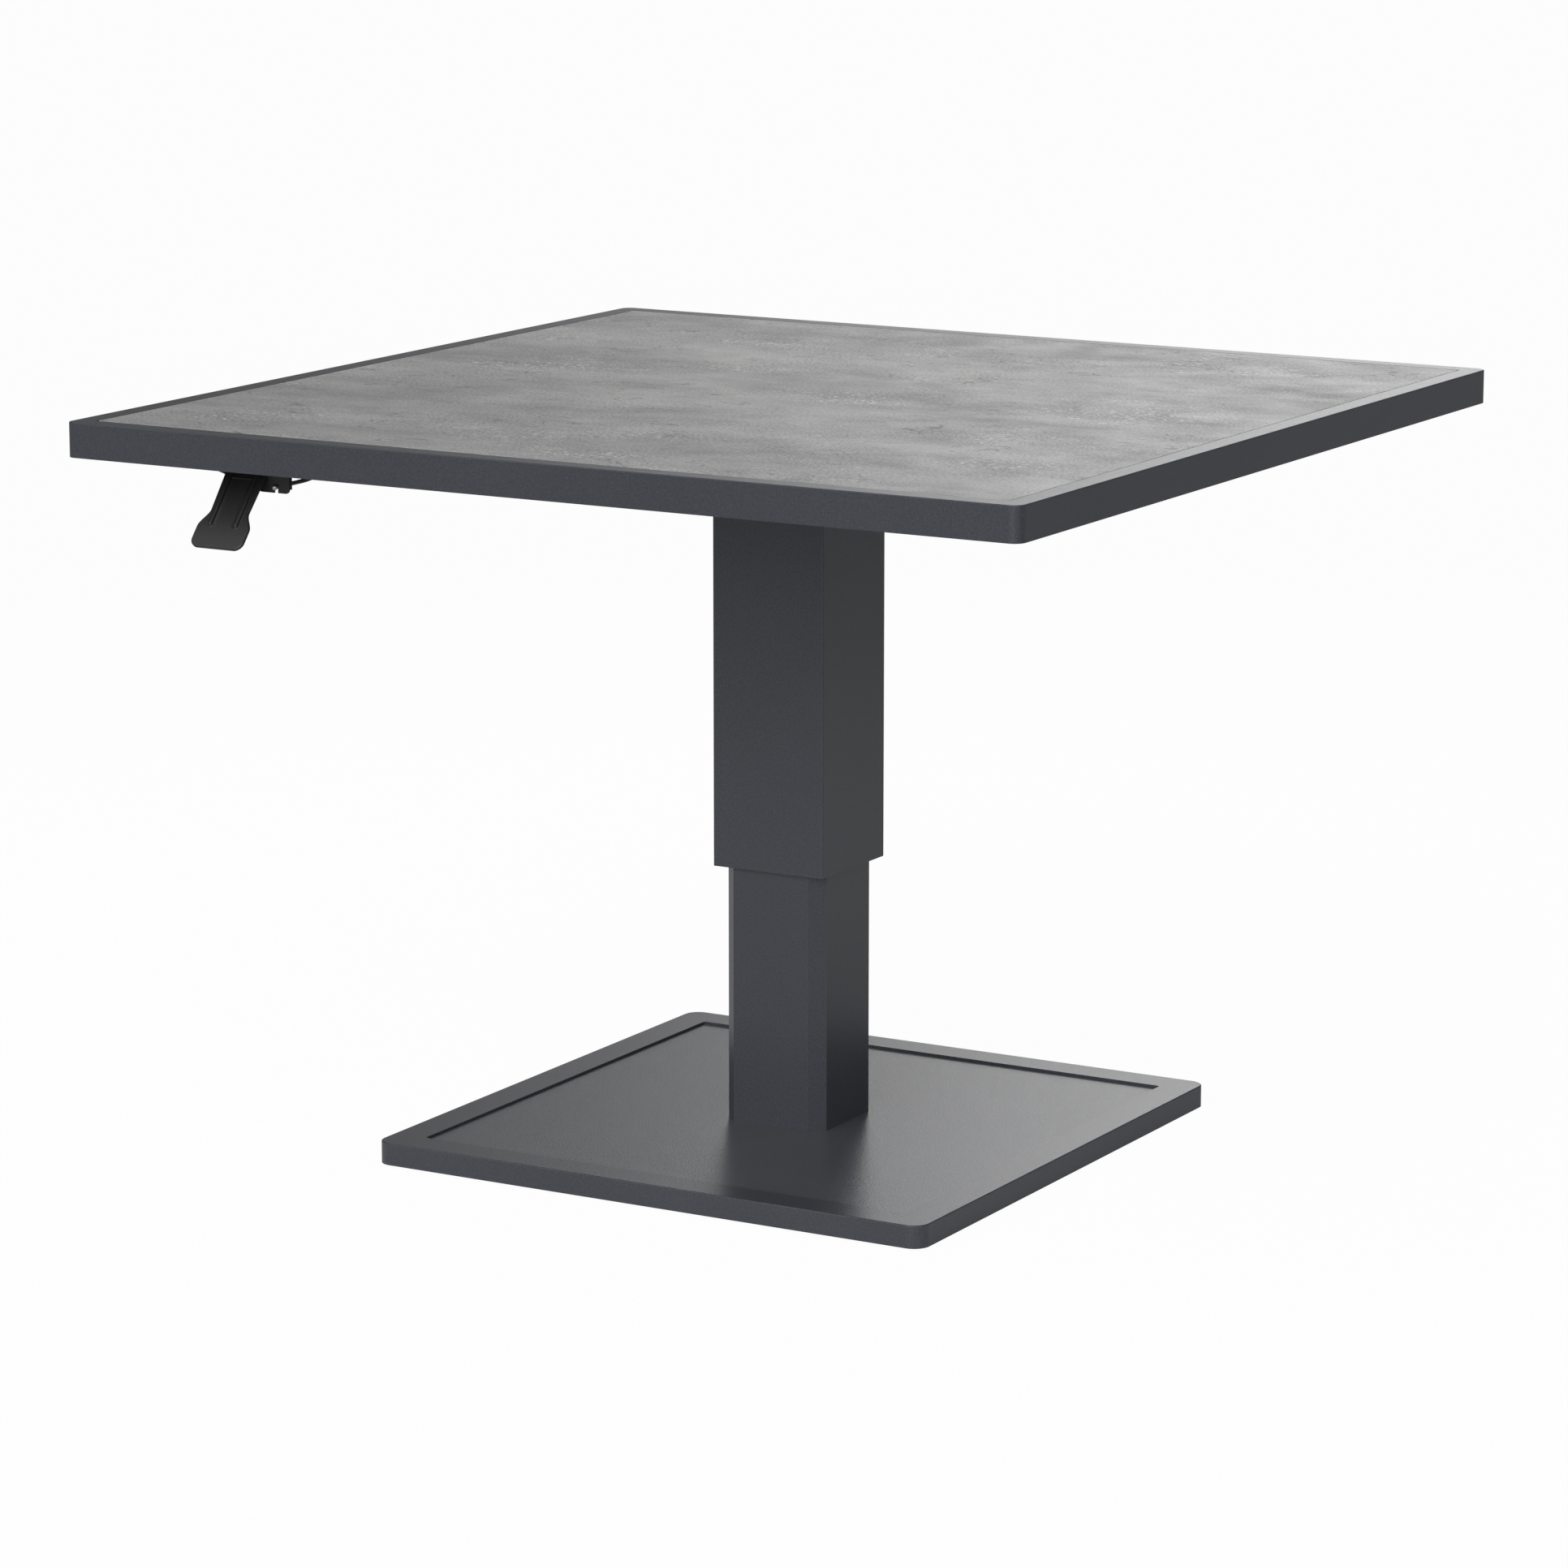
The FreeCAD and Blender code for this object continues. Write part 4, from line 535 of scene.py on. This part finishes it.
glide = {
    "radius": 10, "high": 3, "chamfer": 0.3,
    "round": ((1.6, 0), (0.6, 0.25), (0.15, 0.7), (0, 1.1)),     # inset and level round the lower edge
    "stem": 4, "stemLong": 8, "stemChamfer": 0.6,
}


def addGlides(pad):
    places = [((low.x + top.x) / 2, (low.y + top.y) / 2, 0) for low, top in solidsOf("floor_glides")]
    radius, high, chamfer = pad["radius"], pad["high"], pad["chamfer"]
    stem, end, taper = pad["stem"], pad["high"] + pad["stemLong"], pad["stemChamfer"]
    rings = [(0, 0)] + [(radius - inset, level) for inset, level in pad["round"]]
    rings += [(radius, high - chamfer), (radius - chamfer, high), (stem, high), (stem, end - taper),
              (stem - taper, end), (0, end)]
    vertices, faces = turned(places, rings)
    addPiece("floorGlides", vertices, faces, "base", "floor_glides")


addGlides(glide)
print("screws and glides turned")

# The paddle is measured in mm: side across it, along it from the pivot, and depth behind its middle plane.
paddle = {
    "pivot": (-0.342, -0.43, 0.695),     # metres
    "tilt": 50,                          # degrees below level
    "start": 6, "reach": 87.5,
    "stemHalf": 22.5, "waistHalf": 21, "bladeHalf": 29, "flare": (47, 66), "corner": 9,
    "front": -1.5, "back": 1.5, "edge": 1.2, "backEdge": 0.4, "edgeSteps": (0, 0.06, 0.2, 0.45, 0.8),
    "ribSide": 14.25, "ribHalf": 2.25, "ribHigh": 2.4, "ribEnd": (63.3, 65.9), "soft": 0.8,
    "crossAt": 11.5, "crossHalf": 1.0, "crossHigh": 0.5,
    "step": 0.5, "columns": (0, 4, 8), "core": 18, "wingColumns": 9, "shoulderColumns": 5,
}


def easeIn(value, low, high):
    share = min(1, max(0, (value - low) / (high - low)))
    return share * share * (3 - 2 * share)


def paddleHalf(form, along):
    # half the paddle's width at a distance from the pivot
    share = min(1, (along - form["start"]) / (form["flare"][0] - form["start"]))
    half = form["stemHalf"] + (form["waistHalf"] - form["stemHalf"]) * share
    half += (form["bladeHalf"] - half) * easeIn(along, *form["flare"])
    past = along - (form["reach"] - form["corner"])
    if past > 0:
        half -= form["corner"] - math.sqrt(max(0, form["corner"] ** 2 - past ** 2))
    return half


def paddleEdge(form, side, along):
    # how far a point lies inside the paddle's outline
    inBlade = form["bladeHalf"] - form["corner"]
    inReach = form["reach"] - form["corner"]
    if along > inReach and abs(side) > inBlade:
        return form["corner"] - math.hypot(abs(side) - inBlade, along - inReach)
    return min(paddleHalf(form, along) - abs(side), form["reach"] - along)


def roundOver(distance, radius):
    # how far a rounded edge drops at a distance from the outline
    inside = max(0, radius - max(0, distance))
    return radius - math.sqrt(radius ** 2 - inside ** 2)


def paddleFront(form, side, along):
    level = form["front"] + roundOver(paddleEdge(form, side, along), form["edge"])
    soft = form["soft"]
    half = form["ribHalf"]
    fromRib = abs(abs(side) - form["ribSide"])
    rise = form["ribHigh"] * (1 - easeIn(fromRib, half - soft, half + 0.25 * soft))
    level -= rise * (1 - easeIn(along, *form["ribEnd"]))
    half = form["crossHalf"]
    fromCross = abs(along - form["crossAt"])
    if abs(side) < form["ribSide"] and fromCross < 2 * half:
        rise = form["crossHigh"] * (1 - easeIn(fromCross, half - 0.5 * soft, half + 0.25 * soft))
        level = min(level, form["front"] - rise)
    return level


def onLever(form, side, along, depth):
    # a point of the paddle, from its own axes to the table's
    tilt = math.radians(form["tilt"])
    x, y, z = form["pivot"]
    return (x + side * mm, y + (depth * math.sin(tilt) - along * math.cos(tilt)) * mm,
            z - (along * math.sin(tilt) + depth * math.cos(tilt)) * mm)


def paddleRows(form):
    # places along the paddle, closer together round its lower edge
    long = form["reach"] - form["edge"] - form["start"]
    count = int(long / form["step"])
    rows = [form["start"] + long * i / count for i in range(count)]
    return rows + [form["reach"] - inset for inset in (form["edge"], *reversed(form["edgeSteps"]))]


def paddleSides(form, along):
    # places across the paddle, closer together at the ribs' shoulders and round its sides
    steps = form["shoulderColumns"]
    shoulder = [form["ribHalf"] + form["soft"] * (1.25 * i / steps - 1) for i in range(steps + 1)]
    ribs = [form["ribSide"] + way * reach for way in (-1, 1) for reach in shoulder]
    core = sorted({*form["columns"], form["ribSide"], form["core"], *ribs})
    half = paddleHalf(form, along)
    wide = half - form["edge"] - form["core"]
    wing = [form["core"] + wide * i / form["wingColumns"] for i in range(1, form["wingColumns"])]
    wing += [half - inset for inset in (form["edge"], *reversed(form["edgeSteps"]))]
    right = core[1:] + wing
    return [-side for side in reversed(right)] + [core[0]] + right


def addPaddle(form):
    front, back = [], []
    for along in paddleRows(form):
        sides = paddleSides(form, along)
        front.append([(side, along, paddleFront(form, side, along)) for side in sides])
        back.append([(side, along, form["back"] - roundOver(paddleEdge(form, side, along), form["backEdge"]))
                     for side in sides])
    width = len(front[0])
    high = len(front)
    vertices = [onLever(form, *spot) for sheet in (front, back) for row in sheet for spot in row]
    faces = []
    for sheet in (0, width * high):
        for i in range(high - 1):
            for j in range(width - 1):
                corner = sheet + i * width + j
                faces.append((corner, corner + 1, corner + width + 1, corner + width))
    rim = list(range(width)) + [i * width + width - 1 for i in range(1, high)]
    rim += [(high - 1) * width + j for j in range(width - 2, -1, -1)]
    rim += [i * width for i in range(high - 2, 0, -1)]
    for near, far in zip(rim, rim[1:] + rim[:1]):
        faces.append((near, far, far + width * high, near + width * high))
    addPiece("releasePaddle", vertices, faces, "lever", "lever_paddle", sharp=60)


addPaddle(paddle)

paddleScrew = {"places": (20, 36), "shank": 1.5, "head": 3.2, "high": 2, "face": 3.5, "tip": -0.5}


def addPaddleScrews(form, screw):
    tilt = math.radians(form["tilt"])
    places = [onLever(form, 0, along, screw["face"]) for along in screw["places"]]
    rings = panRings(panHead, screw, screw["face"] - screw["tip"])
    vertices, faces = turned(places, rings, axis=(0, -math.sin(tilt), math.cos(tilt)), segments=36)
    addPiece("paddleScrews", vertices, faces, "lever", "paddle_screws")


addPaddleScrews(paddle, paddleScrew)
print("lever dressed")
